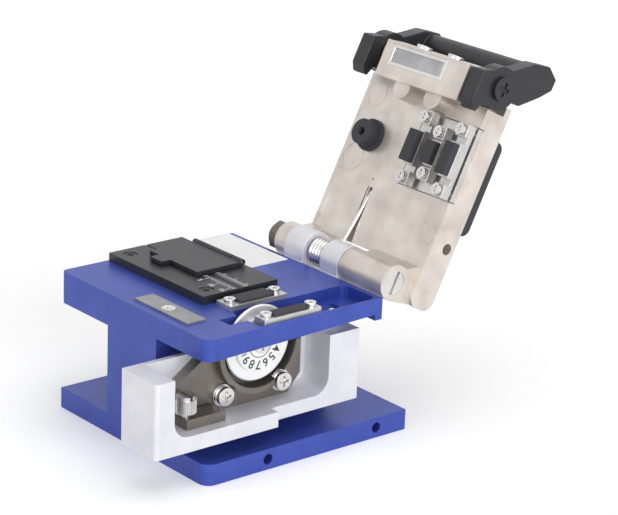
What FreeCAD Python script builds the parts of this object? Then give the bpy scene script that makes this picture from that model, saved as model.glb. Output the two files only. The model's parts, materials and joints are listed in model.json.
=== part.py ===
import FreeCAD, Part
import Sketcher
import os
import re

# Fibre cleaver with its lid open. Millimetres, +Z up, the fibre runs along X, the lid hinges at the back (+Y).
# The origin is the centre of the base plate's underside.
# The lid's own pieces are drawn in the lid's frame: X along the hinge, Y from the hinge axis to the free end,
# Z out of the inner face. A placement about the hinge axis stands them open.

doc = FreeCAD.newDocument("FibreCleaver")
sheet = doc.addObject("Spreadsheet::Sheet", "Sizes")

SIZES = {
    # base plate and frame
    "base_width": 63.0,
    "base_depth": 65.0,
    "base_height": 5.6,
    "corner_round": 3.0,
    "fibre_along": -6.1,
    "front_reach": 26.4,
    "collector_spacing": 35.6,
    "collector_middle": 4.7,
    "collector_radius": 1.4,
    "collector_depth": 8.0,
    "column_left": -10.6,
    "column_right": 10.1,
    "top_height": 38.0,
    "plate_thickness": 8.6,
    "roof_thickness": 5.8,
    "roof_thin": 4.2,
    "roof_lip": 2.3,
    "top_inset": 0.8,
    "recess_border": 0.8,
    "base_screw_across": 5.0,
    "base_screw_inset": 9.0,
    "base_screw_radius": 1.5,
    "base_screw_head": 2.9,
    "base_screw_length": 12.0,
    "socket_depth": 1.2,
    "over": 1.0,
    # recess and blade slot
    "recess_front": -15.4,
    "recess_back": 21.8,
    "recess_depth": 3.2,
    "inner_ledge": 2.8,
    "outer_ledge": 5.3,
    "slot_clearance": 1.2,
    "recess_round": 2.0,
    "slot_front": -21.0,
    "slot_back": 15.6,
    # striker strip
    "strip_middle": 8.0,
    "strip_screw_across": 7.5,
    "strip_length": 22.0,
    "strip_width": 5.8,
    "strip_front": 2.7,
    "strip_thickness": 1.5,
    "strip_proud": 0.5,
    "strip_screw_length": 5.0,
    "small_screw": 0.9,
    "small_head": 1.9,
    # hinge
    "lid_travel": 116.6,
    "hinge_behind": 5.2,
    "hinge_rise": 2.4,
    "ear_radius": 5.0,
    "ear_left": -9.5,
    "ear_width": 7.6,
    "ear_gap": 7.1,
    "ear_right_width": 7.0,
    "barrel_radius": 4.8,
    "shaft_radius": 2.0,
    "running_gap": 0.05,
    "side_gap": 0.2,
    "bracket_thickness": 3.6,
    "bracket_drop": 8.4,
    "web_drop": 3.0,
    "bracket_screw_inset": 1.6,
    "bracket_screw_reach": 5.0,
    "bracket_screw_head": 1.5,
    "bracket_screw_crown": 1.2,
    "ear_skirt": 3.0,
    "bracket_screw": 1.25,
    "spring_wire": 1.0,
    "spring_radius": 3.4,
    "spring_turns": 5.0,
    "leg_reach": 19.9,
    "leg_drop": 3.6,
    "nut_size": 7.4,
    "nut_thickness": 4.4,
    # lid casting
    "lid_left": -13.9,
    "lid_inner": -6.0,
    "lid_thickness": 8.4,
    "lid_near": 5.3,
    "nose_setback": 2.0,
    "nose_length": 8.9,
    "lip_length": 2.5,
    "lid_round": 1.6,
    "nose_drop": 2.0,
    "block_face": 1.75,
    "block_left": -5.2,
    "block_right": 26.4,
    "barrel_end": 29.3,
    "barrel_back": 3.0,
    "boss_radius": 3.0,
    "boss_clearance": 0.1,
    "boss_below": 0.5,
    "boss_middle": 10.0,
    "boss_spacing": 12.0,
    "pin_hole_along": 13.0,
    "pin_hole_out": -11.6,
    "pin_hole_radius": 1.5,
    "pin_hole_depth": 6.0,
    # magnet
    "magnet_depth": 2.0,
    "magnet_border": 1.0,
    "magnet_clearance": 0.5,
    "magnet_screw_middle": 11.5,
    "magnet_screw_spacing": 12.0,
    "magnet_screw_out": -1.5,
    "magnet_screw_length": 4.5,
    "magnet_screw_radius": 1.0,
    "magnet_screw_head": 2.2,
    "magnet_screw_crown": 1.2,
    "magnet_floor": 0.5,
    "magnet_sunk": 0.3,
    # lever
    "lever_thickness": 4.6,
    "lever_overhang": 1.2,
    "lever_gap": 0.3,
    "pivot_setback": 2.8,
    "pivot_out": -6.6,
    "hub_radius": 5.8,
    "lug_radius": 4.0,
    "pivot_radius": 2.0,
    "pivot_thread": 1.5,
    "pivot_head": 3.2,
    "pivot_crown": 1.0,
    "pivot_seat": 0.1,
    "pivot_reach": 4.5,
    "bar_ahead": 6.4,
    "bar_below": 13.2,
    "bar_radius": 3.7,
    # soft pieces on the lid
    "bumper_across": -5.2,
    "bumper_offset": 0.8,
    "stem_radius": 1.0,
    "stem_depth": 4.0,
    "bumper_radius": 3.5,
    "bumper_height": 4.4,
    "flange_radius": 4.4,
    "flange_height": 1.2,
    "grip_left": -12.0,
    "grip_right": 29.9,
    "grip_near": 17.5,
    "grip_far": 44.0,
    "grip_thickness": 4.1,
    "grip_corner": 2.4,
    "grip_edge": 1.5,
    # upper clamps
    "fibre_line": 34.6,
    "fibre_rise": 2.0,
    "pocket_margin": 0.2,
    "carrier_margin": 0.3,
    "foot_thickness": 1.4,
    "guide_grip": 2.5,
    "lower_grip": 1.8,
    "screw_air": 0.15,
    "carrier_left": 10.8,
    "pocket_depth": 1.8,
    "carrier_thickness": 1.6,
    "clamp_travel": 0.8,
    "clamp_gap": 0.2,
    "left_across": 14.8,
    "right_across": 28.5,
    "head_width": 3.8,
    "pad_inset": 0.2,
    "clamp_reach": 8.3,
    "anvil_reach": 5.7,
    "clamp_pad_length": 8.6,
    "anvil_pad_length": 6.1,
    "pad_thickness": 2.0,
    "anvil_drop": 0.5,
    "end_block_length": 3.6,
    "end_block_top": -2.4,
    "guide_radius": 0.8,
    "guide_head": 1.5,
    "guide_head_height": 1.0,
    # lower clamps
    "lower_a_across": 14.4,
    "lower_a_width": 6.0,
    "lower_gap": 0.2,
    "lower_b_width": 4.2,
    "lower_b_shift": 1.0,
    "lower_length": 18.0,
    "lower_screw_inset": 1.9,
    "lower_height": 1.3,
    "lower_pad_seat": 0.6,
    "lower_pad_length": 10.8,
    "lower_pad_border": 0.6,
    # fibre adapter
    "adapter_right": 9.9,
    "adapter_front": -18.0,
    "adapter_back": 5.7,
    "adapter_height": 2.3,
    "adapter_margin": 0.6,
    "adapter_sink": 1.2,
    "adapter_grip": 2.2,
    "adapter_screw_inset": 4.0,
    "groove_depth": 0.4,
    "cover_left": -23.5,
    "cover_right": -2.9,
    "cover_front": -10.3,
    "cover_hinge": 4.4,
    "cover_thickness": 1.2,
    "cover_gap": 0.1,
    "knuckle_radius": 0.9,
    "knuckle_length": 4.0,
    "cover_pin_radius": 0.5,
    "tab_left": -19.5,
    "tab_width": 5.0,
    "tab_reach": 2.7,
    # slider
    "slider_front": -47.3,
    "slider_width": 14.1,
    "rear_setback": 2.9,
    "slider_clearance": 2.3,
    "slider_height": 19.6,
    "floor_thickness": 4.1,
    "slider_back": 18.6,
    "slider_step": -9.5,
    "slider_rise": 0.4,
    "slider_corner": 1.2,
    "pocket_front": -41.7,
    "pocket_back": 8.9,
    "pocket_corner": 4.5,
    "slider_web": 1.4,
    "rail_width": 7.0,
    "rail_height": 3.3,
    "rail_front": -30.0,
    "rail_back": 21.3,
    "rail_groove": 0.5,
    "rail_screw": 1.0,
    "rail_screw_head": 1.7,
    "carriage_width": 12.0,
    "carriage_length": 20.0,
    "carriage_middle": -14.0,
    "carriage_gap": 0.2,
    "carriage_roof": 2.9,
    "rail_sink": 1.4,
    "rail_grip": 3.0,
    "carriage_grip": 2.0,
    "carriage_screw_along": 7.0,
    "carriage_screw_rise": 4.0,
    # blade, dial and bracket
    "blade_along": -10.1,
    "blade_radius": 10.0,
    "blade_thickness": 0.8,
    "blade_over": 0.25,
    "blade_gap": 0.2,
    "dial_radius": 7.3,
    "dial_thickness": 1.0,
    "axle_radius": 1.5,
    "axle_head": 2.2,
    "axle_crown": 1.0,
    "axle_air": 0.3,
    "anvil_offset": 0.1,
    "bracket_back_plate": 3.5,
    "bracket_front": -36.5,
    "bracket_rear": 4.6,
    "guard_wall": 1.5,
    "guard_gap": 1.4,
    "bracket_clearance": 1.2,
    "fixing_drop": 11.75,
    "fixing_crown": 1.7,
    "fixing_air": 0.2,
    "washer_room": 0.3,
    "seat_air": 0.1,
    "roof_air": 0.2,
    "guard_height": 2.2,
    "hollow_depth": 2.0,
    "hub_seat": 3.4,
    "fixing_front": -20.5,
    "fixing_rear": -2.2,
    "fixing_radius": 1.5,
    "fixing_head": 2.4,
    "washer_radius": 2.9,
    "washer_thickness": 0.5,
    # blade height screw
    "foot_front": -35.5,
    "foot_back": -23.7,
    "foot_height": 2.7,
    "foot_gap": 0.6,
    "foot_width": 5.4,
    "knob_inset": 2.9,
    "stem_sunk": 2.0,
    "knob_slot_half": 0.4,
    "knob_slot_depth": 1.0,
    "knob_along": -34.2,
    "knob_radius": 2.3,
    "knob_height": 4.5,
    "knob_gap": 1.2,
    "knob_stem": 1.1,
}

# What follows from the sizes above, in the words that the pieces use.
FOLLOWING = {
    "hinge_back": "(fibre_along + fibre_line)",
    "hinge_height": "(top_height + hinge_rise)",
    "fibre_height": "(top_height + fibre_rise)",
    "frame_back": "(hinge_back - hinge_behind)",
    "front_side": "(fibre_along - front_reach)",
    "back_side": "(front_side + base_depth)",
    "top_right": "(recess_right + recess_border)",
    "right_side": "(top_right + top_inset)",
    "left_side": "(right_side - base_width)",
    "roof_face": "(top_height - roof_thickness)",
    "bracket_web_top": "(top_height - web_drop)",
    # sideways, from the column outwards
    "slider_left": "(column_right + rail_height + carriage_gap + carriage_roof)",
    "slider_right": "(slider_left + slider_width)",
    "slider_rear_right": "(slider_right - rear_setback)",
    "plate_face": "(slider_left + slider_web + bracket_back_plate)",
    "blade_back": "(plate_face + blade_gap)",
    "slot_left": "(blade_back - slot_clearance)",
    "slot_right": "(blade_back + blade_thickness + dial_thickness + slot_clearance)",
    "recess_left": "(slot_left - inner_ledge)",
    "recess_right": "(slot_right + outer_ledge)",
    "lower_b_across": "(recess_right - lower_gap - lower_b_width / 2)",
    "anvil_across": "(blade_back - anvil_offset)",
    "foot_left": "(plate_face + foot_gap)",
    "foot_right": "(foot_left + foot_width)",
    "knob_across": "(foot_left + knob_inset)",
    "adapter_left": "(left_side + adapter_margin)",
    # heights under the roof
    "slider_top": "(roof_face - slider_clearance)",
    "slider_bottom": "(slider_top - slider_height)",
    "pocket_floor": "(slider_bottom + floor_thickness)",
    "rail_centre": "((slider_bottom + slider_top) / 2)",
    "blade_height": "(fibre_height + blade_over - blade_radius)",
    "guard_inner": "(blade_radius + guard_gap)",
    "bracket_top": "(roof_face - bracket_clearance)",
    "fixing_height": "(blade_height - fixing_drop)",
    # along the lid, from the hinge axis
    "lid_right": "top_right",
    "nose_end": "(fibre_line + front_reach - nose_setback)",
    "lid_far": "(nose_end - nose_length)",
    "lid_lip": "(lid_far + lip_length)",
    "pivot_along": "(nose_end - pivot_setback)",
    "bar_along": "(pivot_along + bar_ahead)",
    "bar_out": "(pivot_out - bar_below)",
    "pocket_near": "(fibre_line - clamp_reach - end_block_length / 2 - pocket_margin)",
    "pocket_far": "(fibre_line + clamp_reach + end_block_length / 2 + pocket_margin)",
    "boss_along": "(pocket_far + boss_radius + boss_clearance)",
    "bumper_along": "(fibre_line - bumper_offset)",
}

for row, (alias, value) in enumerate(SIZES.items(), start=1):
    sheet.set(f"A{row}", alias)
    sheet.set(f"B{row}", str(value))
    sheet.setAlias(f"B{row}", alias)
doc.recompute()

WORD = re.compile(r"[a-z][a-z_]*[a-z]")
X_AXIS = FreeCAD.Vector(1, 0, 0)
Y_AXIS = FreeCAD.Vector(0, 1, 0)
Z_AXIS = FreeCAD.Vector(0, 0, 1)
parts = []


def linked(text):
    """Write a formula of sheet names as a document expression, with what follows from them spelled out."""
    text = str(text)
    while any(word in FOLLOWING for word in WORD.findall(text)):
        text = WORD.sub(lambda word: FOLLOWING.get(word[0], word[0]), text)
    return WORD.sub(lambda word: f"Sizes.{word[0]}" if word[0] in SIZES else word[0], text)


def value(text):
    """Work out a formula of sheet names, for a point or a shape that a loop places."""
    return float(sheet.evalExpression(linked(text)))


def bind(item, prop, text):
    """Tie one property of an object to the sheet."""
    item.setExpression(prop, linked(text))


def at(item, x="0", y="0", z="0"):
    """Tie an object's base point to the sheet."""
    bind(item, "Placement.Base.x", x)
    bind(item, "Placement.Base.y", y)
    bind(item, "Placement.Base.z", z)


def box(name, x, y, z):
    """Box between pairs of formulas along each axis."""
    item = doc.addObject("Part::Box", name)
    bind(item, "Length", f"({x[1]}) - ({x[0]})")
    bind(item, "Width", f"({y[1]}) - ({y[0]})")
    bind(item, "Height", f"({z[1]}) - ({z[0]})")
    at(item, x[0], y[0], z[0])
    return item


TURNS = {
    "X": FreeCAD.Rotation(Y_AXIS, 90),
    "Y": FreeCAD.Rotation(X_AXIS, -90),
    "Z": FreeCAD.Rotation(),
}


def rod(name, axis, radius, start, end, across, along):
    """Cylinder on an axis from start to end; across and along are its other two coordinates in order."""
    item = doc.addObject("Part::Cylinder", name)
    item.Placement = FreeCAD.Placement(FreeCAD.Vector(), TURNS[axis])
    bind(item, "Radius", radius)
    bind(item, "Height", f"({end}) - ({start})")
    places = {"X": (start, across, along), "Y": (across, start, along), "Z": (across, along, start)}
    at(item, *places[axis])
    return item


def cone(name, axis, radius_start, radius_end, start, end, across, along):
    """Cone frustum on an axis, placed like rod."""
    item = doc.addObject("Part::Cone", name)
    item.Placement = FreeCAD.Placement(FreeCAD.Vector(), TURNS[axis])
    bind(item, "Radius1", radius_start)
    bind(item, "Radius2", radius_end)
    bind(item, "Height", f"({end}) - ({start})")
    places = {"X": (start, across, along), "Y": (across, start, along), "Z": (across, along, start)}
    at(item, *places[axis])
    return item


def hexagon(name, width, start, end, across, along):
    """Hexagonal prism along X, measured across its flats."""
    item = doc.addObject("Part::Prism", name)
    item.Polygon = 6
    item.Placement = FreeCAD.Placement(FreeCAD.Vector(), TURNS["X"])
    bind(item, "Circumradius", f"({width}) / 1.7320508")
    bind(item, "Height", f"({end}) - ({start})")
    at(item, start, across, along)
    return item


def fuse(name, *items):
    """Join overlapping or touching shapes into one piece."""
    item = doc.addObject("Part::MultiFuse", name)
    item.Shapes = list(items)
    item.Refine = True
    return item


def cut(name, base, *tools):
    """Take the tools away from the base."""
    tool = tools[0] if len(tools) == 1 else fuse(name + "_tools", *tools)
    item = doc.addObject("Part::Cut", name)
    item.Base = base
    item.Tool = tool
    item.Refine = True
    return item


def group(name, items):
    """Keep identical pieces as separate solids of one node."""
    item = doc.addObject("Part::Compound", name)
    item.Links = list(items)
    return item


PLANES = {"XY": "XY_Plane", "XZ": "XZ_Plane", "YZ": "YZ_Plane"}


def profile_pad(name, plane, corners, low, high, holes=()):
    """Body whose closed outline of corners, each a pair of formulas, is padded from low to high.

    The plane's normal is +Z for XY, -Y for XZ and +X for YZ. Holes are (u, v, radius) circles in the outline.
    """
    body = doc.addObject("PartDesign::Body", name)
    sketch = body.newObject("Sketcher::SketchObject", name + "_outline")
    origin = [f for f in body.Origin.OriginFeatures if f.Role == PLANES[plane]][0]
    sketch.AttachmentSupport = [(origin, "")]
    sketch.MapMode = "FlatFace"
    points = [FreeCAD.Vector(value(u), value(v), 0) for u, v in corners]
    count = len(points)
    for index in range(count):
        sketch.addGeometry(Part.LineSegment(points[index], points[(index + 1) % count]), False)
    for index in range(count):
        sketch.addConstraint(Sketcher.Constraint("Coincident", index, 2, (index + 1) % count, 1))
    for index, (u, v) in enumerate(corners):
        across = sketch.addConstraint(Sketcher.Constraint("DistanceX", -1, 1, index, 1, points[index].x))
        bind(sketch, f"Constraints[{across}]", u)
        upward = sketch.addConstraint(Sketcher.Constraint("DistanceY", -1, 1, index, 1, points[index].y))
        bind(sketch, f"Constraints[{upward}]", v)
    for number, (u, v, radius) in enumerate(holes):
        centre = FreeCAD.Vector(value(u), value(v), 0)
        circle = sketch.addGeometry(Part.Circle(centre, Z_AXIS, value(radius)), False)
        across = sketch.addConstraint(Sketcher.Constraint("DistanceX", -1, 1, circle, 3, centre.x))
        bind(sketch, f"Constraints[{across}]", u)
        upward = sketch.addConstraint(Sketcher.Constraint("DistanceY", -1, 1, circle, 3, centre.y))
        bind(sketch, f"Constraints[{upward}]", v)
        round_size = sketch.addConstraint(Sketcher.Constraint("Radius", circle, value(radius)))
        bind(sketch, f"Constraints[{round_size}]", radius)
    bind(sketch, "AttachmentOffset.Base.z", low)
    pad = body.newObject("PartDesign::Pad", name + "_pad")
    pad.Profile = sketch
    bind(pad, "Length", f"({high}) - ({low})")
    doc.recompute()
    return body


def rounded(body, radius, picks, name):
    """Fillet the edges of a body's last feature whose middle point passes the test."""
    base = body.Tip
    names = [f"Edge{n}" for n, edge in enumerate(base.Shape.Edges, start=1) if picks(edge)]
    fillet = body.newObject("PartDesign::Fillet", name)
    fillet.Base = (base, names)
    bind(fillet, "Radius", radius)
    body.Tip = fillet
    doc.recompute()
    return body


def middle(edge):
    """Middle point of an edge."""
    return edge.valueAt((edge.FirstParameter + edge.LastParameter) / 2)


def lies_along(edge, axis):
    """True for a straight edge parallel to an axis."""
    if not isinstance(edge.Curve, Part.Line):
        return False
    return abs(abs(edge.tangentAt(edge.FirstParameter).dot(axis)) - 1) < 1e-6


def node(item, label):
    """Name a finished sub-part and keep it for export."""
    item.Label = label
    parts.append(item)
    return item


def lid_node(item, label):
    """Stand a sub-part drawn in the lid's frame open about the hinge, then keep it."""
    if item.isDerivedFrom("Part::Primitive"):
        item = group(item.Name + "_in_lid", [item])
    item.Placement = FreeCAD.Placement(FreeCAD.Vector(), FreeCAD.Rotation(X_AXIS, 60))
    at(item, "0", "hinge_back", "hinge_height")
    bind(item, "Placement.Rotation.Angle", "180 - lid_travel")
    return node(item, label)


def near(a, b):
    """Equal within a hair."""
    return abs(a - b) < 1e-3


# ---------------------------------------------------------------- base plate and frame
FRONT = "front_side"
FRAME_BACK = "frame_back"
TOP_RIGHT = "top_right"
ROOF = "roof_face"
RECESS_FLOOR = "(top_height - recess_depth)"


def base_screw_places():
    """Four screws under the column."""
    xs = ("column_left + base_screw_across", "column_right - base_screw_across")
    ys = ("front_side + base_screw_inset", f"{FRAME_BACK} - base_screw_inset")
    return [(x, y) for x in xs for y in ys]


def base_plate():
    """Flat plate with two collector holes in its right side and four countersunk seats below."""
    corners = [("left_side", FRONT), ("right_side", FRONT), ("right_side", "back_side"),
               ("left_side", "back_side")]
    body = profile_pad("base_plate_body", "XY", corners, "0", "base_height")
    front, right = value(FRONT), value("right_side")
    rounded(body, "corner_round", lambda e: lies_along(e, Z_AXIS) and near(middle(e).x, right)
            and near(middle(e).y, front), "base_corner_round")
    tools = [rod(f"collector_hole_{n}", "X", "collector_radius", "right_side - collector_depth",
                 "right_side + over", f"collector_middle {sign} collector_spacing / 2", "base_height / 2")
             for n, sign in enumerate(("-", "+"))]
    for n, (x, y) in enumerate(base_screw_places()):
        tools.append(rod(f"base_seat_{n}", "Z", "base_screw_radius", "-over", "base_height + over", x, y))
        tools.append(cone(f"base_sink_{n}", "Z", "base_screw_head", "base_screw_radius", "0",
                          "base_screw_head - base_screw_radius", x, y))
    node(cut("base_plate_cut", body, *tools), "base_plate")


def base_screws():
    """Countersunk socket screws from below into the column."""
    screws = []
    for n, (x, y) in enumerate(base_screw_places()):
        head = cone(f"base_screw_head_{n}", "Z", "base_screw_head", "base_screw_radius", "0",
                    "base_screw_head - base_screw_radius", x, y)
        shank = rod(f"base_screw_shank_{n}", "Z", "base_screw_radius", "0", "base_screw_length", x, y)
        socket = rod(f"base_screw_socket_{n}", "Z", "base_screw_radius / 2", "-over", "socket_depth", x, y)
        screws.append(cut(f"base_screw_{n}", fuse(f"base_screw_blank_{n}", head, shank), socket))
    node(group("base_screw_set", screws), "base_screws")


def frame_body():
    """Column and top plate in one piece, with its tapered roof, recess, blade slot and screw holes."""
    corners = [("column_left", "base_height"), ("column_right", "base_height"), ("column_right", ROOF),
               (TOP_RIGHT, ROOF), (TOP_RIGHT, "top_height"), ("left_side", "top_height"),
               ("left_side", "top_height - plate_thickness"), ("column_left", "top_height - plate_thickness")]
    body = profile_pad("frame_profile", "XZ", corners, "-frame_back", "-front_side")
    front, right, left = value(FRONT), value(TOP_RIGHT), value("left_side")
    rounded(body, "corner_round", lambda e: lies_along(e, Z_AXIS) and near(middle(e).x, right)
            and near(middle(e).y, front), "frame_right_round")
    rounded(body, "corner_round / 2", lambda e: lies_along(e, Z_AXIS) and near(middle(e).x, left)
            and near(middle(e).y, front), "frame_left_round")
    taper = [(FRONT, f"{ROOF} - over"), (f"{FRAME_BACK} - roof_lip", f"{ROOF} - over"),
             (f"{FRAME_BACK} - roof_lip", "top_height - roof_thin"), (FRONT, ROOF)]
    hollow = profile_pad("roof_taper", "YZ", taper, "column_right", "right_side + over")
    recess_corners = [("recess_left", "recess_front"), ("recess_right", "recess_front"),
                      ("recess_right", "recess_back"), ("recess_left", "recess_back")]
    recess = profile_pad("recess_cut", "XY", recess_corners, RECESS_FLOOR, "top_height + over")
    rounded(recess, "recess_round", lambda e: lies_along(e, Z_AXIS), "recess_rounds")
    slot = box("blade_slot", ("slot_left", "slot_right"), ("slot_front", "slot_back"),
               (f"{ROOF} - over", "top_height + over"))
    seat = box("strip_seat", (STRIP_LEFT, STRIP_RIGHT), (STRIP_FRONT, STRIP_BACK),
               ("top_height + strip_proud - strip_thickness", "top_height + over"))
    tools = [hollow, recess, slot, seat,
             rod("strip_thread", "Z", "small_screw", "top_height - strip_screw_length", "top_height",
                 "strip_screw_across", STRIP_Y)]
    for n, (x, y) in enumerate(base_screw_places()):
        tools.append(rod(f"column_thread_{n}", "Z", "base_screw_radius", "base_height - over",
                         "base_screw_length", x, y))
    for n, x in enumerate(bracket_screw_places()):
        tools.append(rod(f"bracket_thread_{n}", "Y", "bracket_screw",
                         f"{FRAME_BACK} - bracket_screw_reach - over", f"{FRAME_BACK} + over",
                         x, BRACKET_SCREW_Z))
    for n, y in enumerate(rail_screw_places()):
        tools.append(rod(f"rail_thread_{n}", "X", "rail_screw", "column_right - rail_grip",
                         "column_right + over", y,
                         "rail_centre"))
    for n, (x, y, floor) in enumerate(lower_screw_places()):
        tools.append(rod(f"lower_thread_{n}", "Z", "guide_radius", f"{floor} - lower_grip", f"{floor} + over",
                         x, y))
    for n, (x, y) in enumerate(adapter_screw_places()):
        tools.append(rod(f"adapter_thread_{n}", "Z", "small_screw", "top_height - adapter_grip",
                         "top_height + over", x, y))
    node(cut("frame_cut", body, *tools), "body_frame")


# ---------------------------------------------------------------- screws with a crossed recess
def cross_slots(name, axis, reach, width, start, end, across, along):
    """Two crossed slots, cut along an axis."""
    slots = []
    for turned, (first, second) in enumerate(((width, reach), (reach, width))):
        side = (f"{across} - {first}", f"{across} + {first}")
        other = (f"{along} - {second}", f"{along} + {second}")
        places = {"X": ((start, end), side, other), "Y": (side, (start, end), other),
                  "Z": (side, other, (start, end))}
        slots.append(box(f"{name}_{turned}", *places[axis]))
    return slots


def pan_screw(name, axis, head, depth, shank, reach, seat, across, along, outward=1):
    """Screw whose head stands outward from its seat and whose shank goes the other way."""
    tip = f"{seat} - {outward} * ({reach})"
    crown = f"{seat} + {outward} * ({depth})"
    floor = f"{seat} + {outward} * ({depth}) / 3"
    over = f"{seat} + {outward} * ({depth} + 1)"
    if outward < 0:
        spans = ((crown, seat), (seat, tip), (over, floor))
    else:
        spans = ((seat, crown), (tip, seat), (floor, over))
    blank = fuse(name + "_blank", rod(name + "_head", axis, head, *spans[0], across, along),
                 rod(name + "_shank", axis, shank, *spans[1], across, along))
    slots = cross_slots(name + "_cross", axis, f"({head}) * 0.6", f"({head}) * 0.14", *spans[2], across, along)
    return cut(name, blank, *slots)


# ---------------------------------------------------------------- striker strip
STRIP_LEFT = "strip_middle - strip_length / 2"
STRIP_RIGHT = "strip_middle + strip_length / 2"
STRIP_FRONT = "(front_side + strip_front)"
STRIP_BACK = "(front_side + strip_front + strip_width)"
STRIP_Y = "(front_side + strip_front + strip_width / 2)"
STRIP_TOP = "(top_height + strip_proud)"


def striker_strip():
    """Steel strip let into the top plate, which the lid's magnet holds on to, and its countersunk screw."""
    plate = box("strip_plate", (STRIP_LEFT, STRIP_RIGHT), (STRIP_FRONT, STRIP_BACK),
                (f"{STRIP_TOP} - strip_thickness", STRIP_TOP))
    sink_depth = "small_head - small_screw"
    sink = cone("strip_sink", "Z", "small_screw", "small_head", f"{STRIP_TOP} - ({sink_depth})", STRIP_TOP,
                "strip_screw_across", STRIP_Y)
    hole = rod("strip_bore", "Z", "small_screw", f"{STRIP_TOP} - strip_thickness - over", STRIP_TOP,
               "strip_screw_across", STRIP_Y)
    node(cut("strip_cut", plate, sink, hole), "magnet_strip")
    head = cone("strip_screw_head", "Z", "small_screw", "small_head", f"{STRIP_TOP} - ({sink_depth})",
                STRIP_TOP,
                "strip_screw_across", STRIP_Y)
    shank = rod("strip_screw_shank", "Z", "small_screw", "top_height - strip_screw_length", "top_height",
                "strip_screw_across",
                STRIP_Y)
    slots = cross_slots("strip_screw_cross", "Z", "small_head * 0.6", "small_head * 0.14",
                        f"{STRIP_TOP} - ({sink_depth}) / 2", f"{STRIP_TOP} + over", "strip_screw_across", STRIP_Y)
    node(cut("strip_screw_cut", fuse("strip_screw_blank", head, shank), *slots), "strip_screw")


# ---------------------------------------------------------------- hinge bracket
EAR_END = "(ear_left + ear_width)"
EAR_TWO = "(ear_left + ear_width + ear_gap)"
EAR_RIGHT = "(ear_left + ear_width + ear_gap + ear_right_width)"
BRACKET_SCREW_Z = "(bracket_web_top + top_height - bracket_drop) / 2"


def bracket_screw_places():
    """Two screws in the flange between the ears."""
    return (f"{EAR_END} + bracket_screw_inset", f"{EAR_TWO} - bracket_screw_inset")


def hinge_bracket():
    """Two round ears on one flange, screwed to the back of the top plate."""
    back = f"{FRAME_BACK} + bracket_thickness"
    foot = "top_height - bracket_drop"
    pieces = [box("bracket_flange", ("ear_left", EAR_RIGHT), (FRAME_BACK, back), (foot, "bracket_web_top"))]
    for n, (start, end) in enumerate((("ear_left", EAR_END), (EAR_TWO, EAR_RIGHT))):
        pieces.append(rod(f"ear_round_{n}", "X", "ear_radius", start, end, "hinge_back", "hinge_height"))
        corners = [(FRAME_BACK, foot), (back, foot), ("hinge_back + ear_radius", "hinge_height - ear_skirt"),
                   ("hinge_back + ear_radius", "hinge_height"), ("hinge_back - ear_radius", "hinge_height"),
                   ("hinge_back - ear_radius", "top_height"), (FRAME_BACK, "top_height")]
        pieces.append(profile_pad(f"ear_leg_{n}", "YZ", corners, start, end))
    tools = [rod("ear_bore", "X", "shaft_radius + running_gap", "ear_left - over", f"{EAR_RIGHT} + over",
                 "hinge_back",
                 "hinge_height")]
    for n, x in enumerate(bracket_screw_places()):
        tools.append(rod(f"bracket_hole_{n}", "Y", "bracket_screw", f"{FRAME_BACK} - over", f"{back} + over", x,
                         BRACKET_SCREW_Z))
    node(cut("bracket_cut", fuse("bracket_blank", *pieces), *tools), "hinge_bracket")
    screws = [pan_screw(f"bracket_screw_{n}", "Y", "bracket_screw_head", "bracket_screw_crown", "bracket_screw",
                        "bracket_thickness + bracket_screw_reach", back, x,
                        BRACKET_SCREW_Z) for n, x in enumerate(bracket_screw_places())]
    node(group("bracket_screw_set", screws), "hinge_bracket_screws")


# ---------------------------------------------------------------- lid casting, in the lid's frame
LID_OUTER = "(lid_inner - lid_thickness)"
LUG_LEFT = "(lid_left - lever_overhang + lever_thickness + lever_gap)"
LUG_RIGHT = "(lid_right + lever_overhang - lever_thickness - lever_gap)"
LEG_X = "(ear_left + ear_width + ear_gap / 2)"
POCKET_FLOOR = "(lid_inner - pocket_depth)"


def lid_hinge(side, start, end):
    """Hinge barrel with the web that joins it to the plate."""
    tube = rod(f"{side}_barrel", "X", "barrel_radius", start, end, "0", "0")
    corners = [("-barrel_radius", "0"), ("-barrel_back", LID_OUTER), ("lid_near + over", LID_OUTER),
               ("lid_near + over", "lid_inner"), ("barrel_radius * 0.9", "-barrel_radius * 0.4")]
    return fuse(f"{side}_hinge", tube, profile_pad(f"{side}_web", "YZ", corners, start, end))


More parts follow.
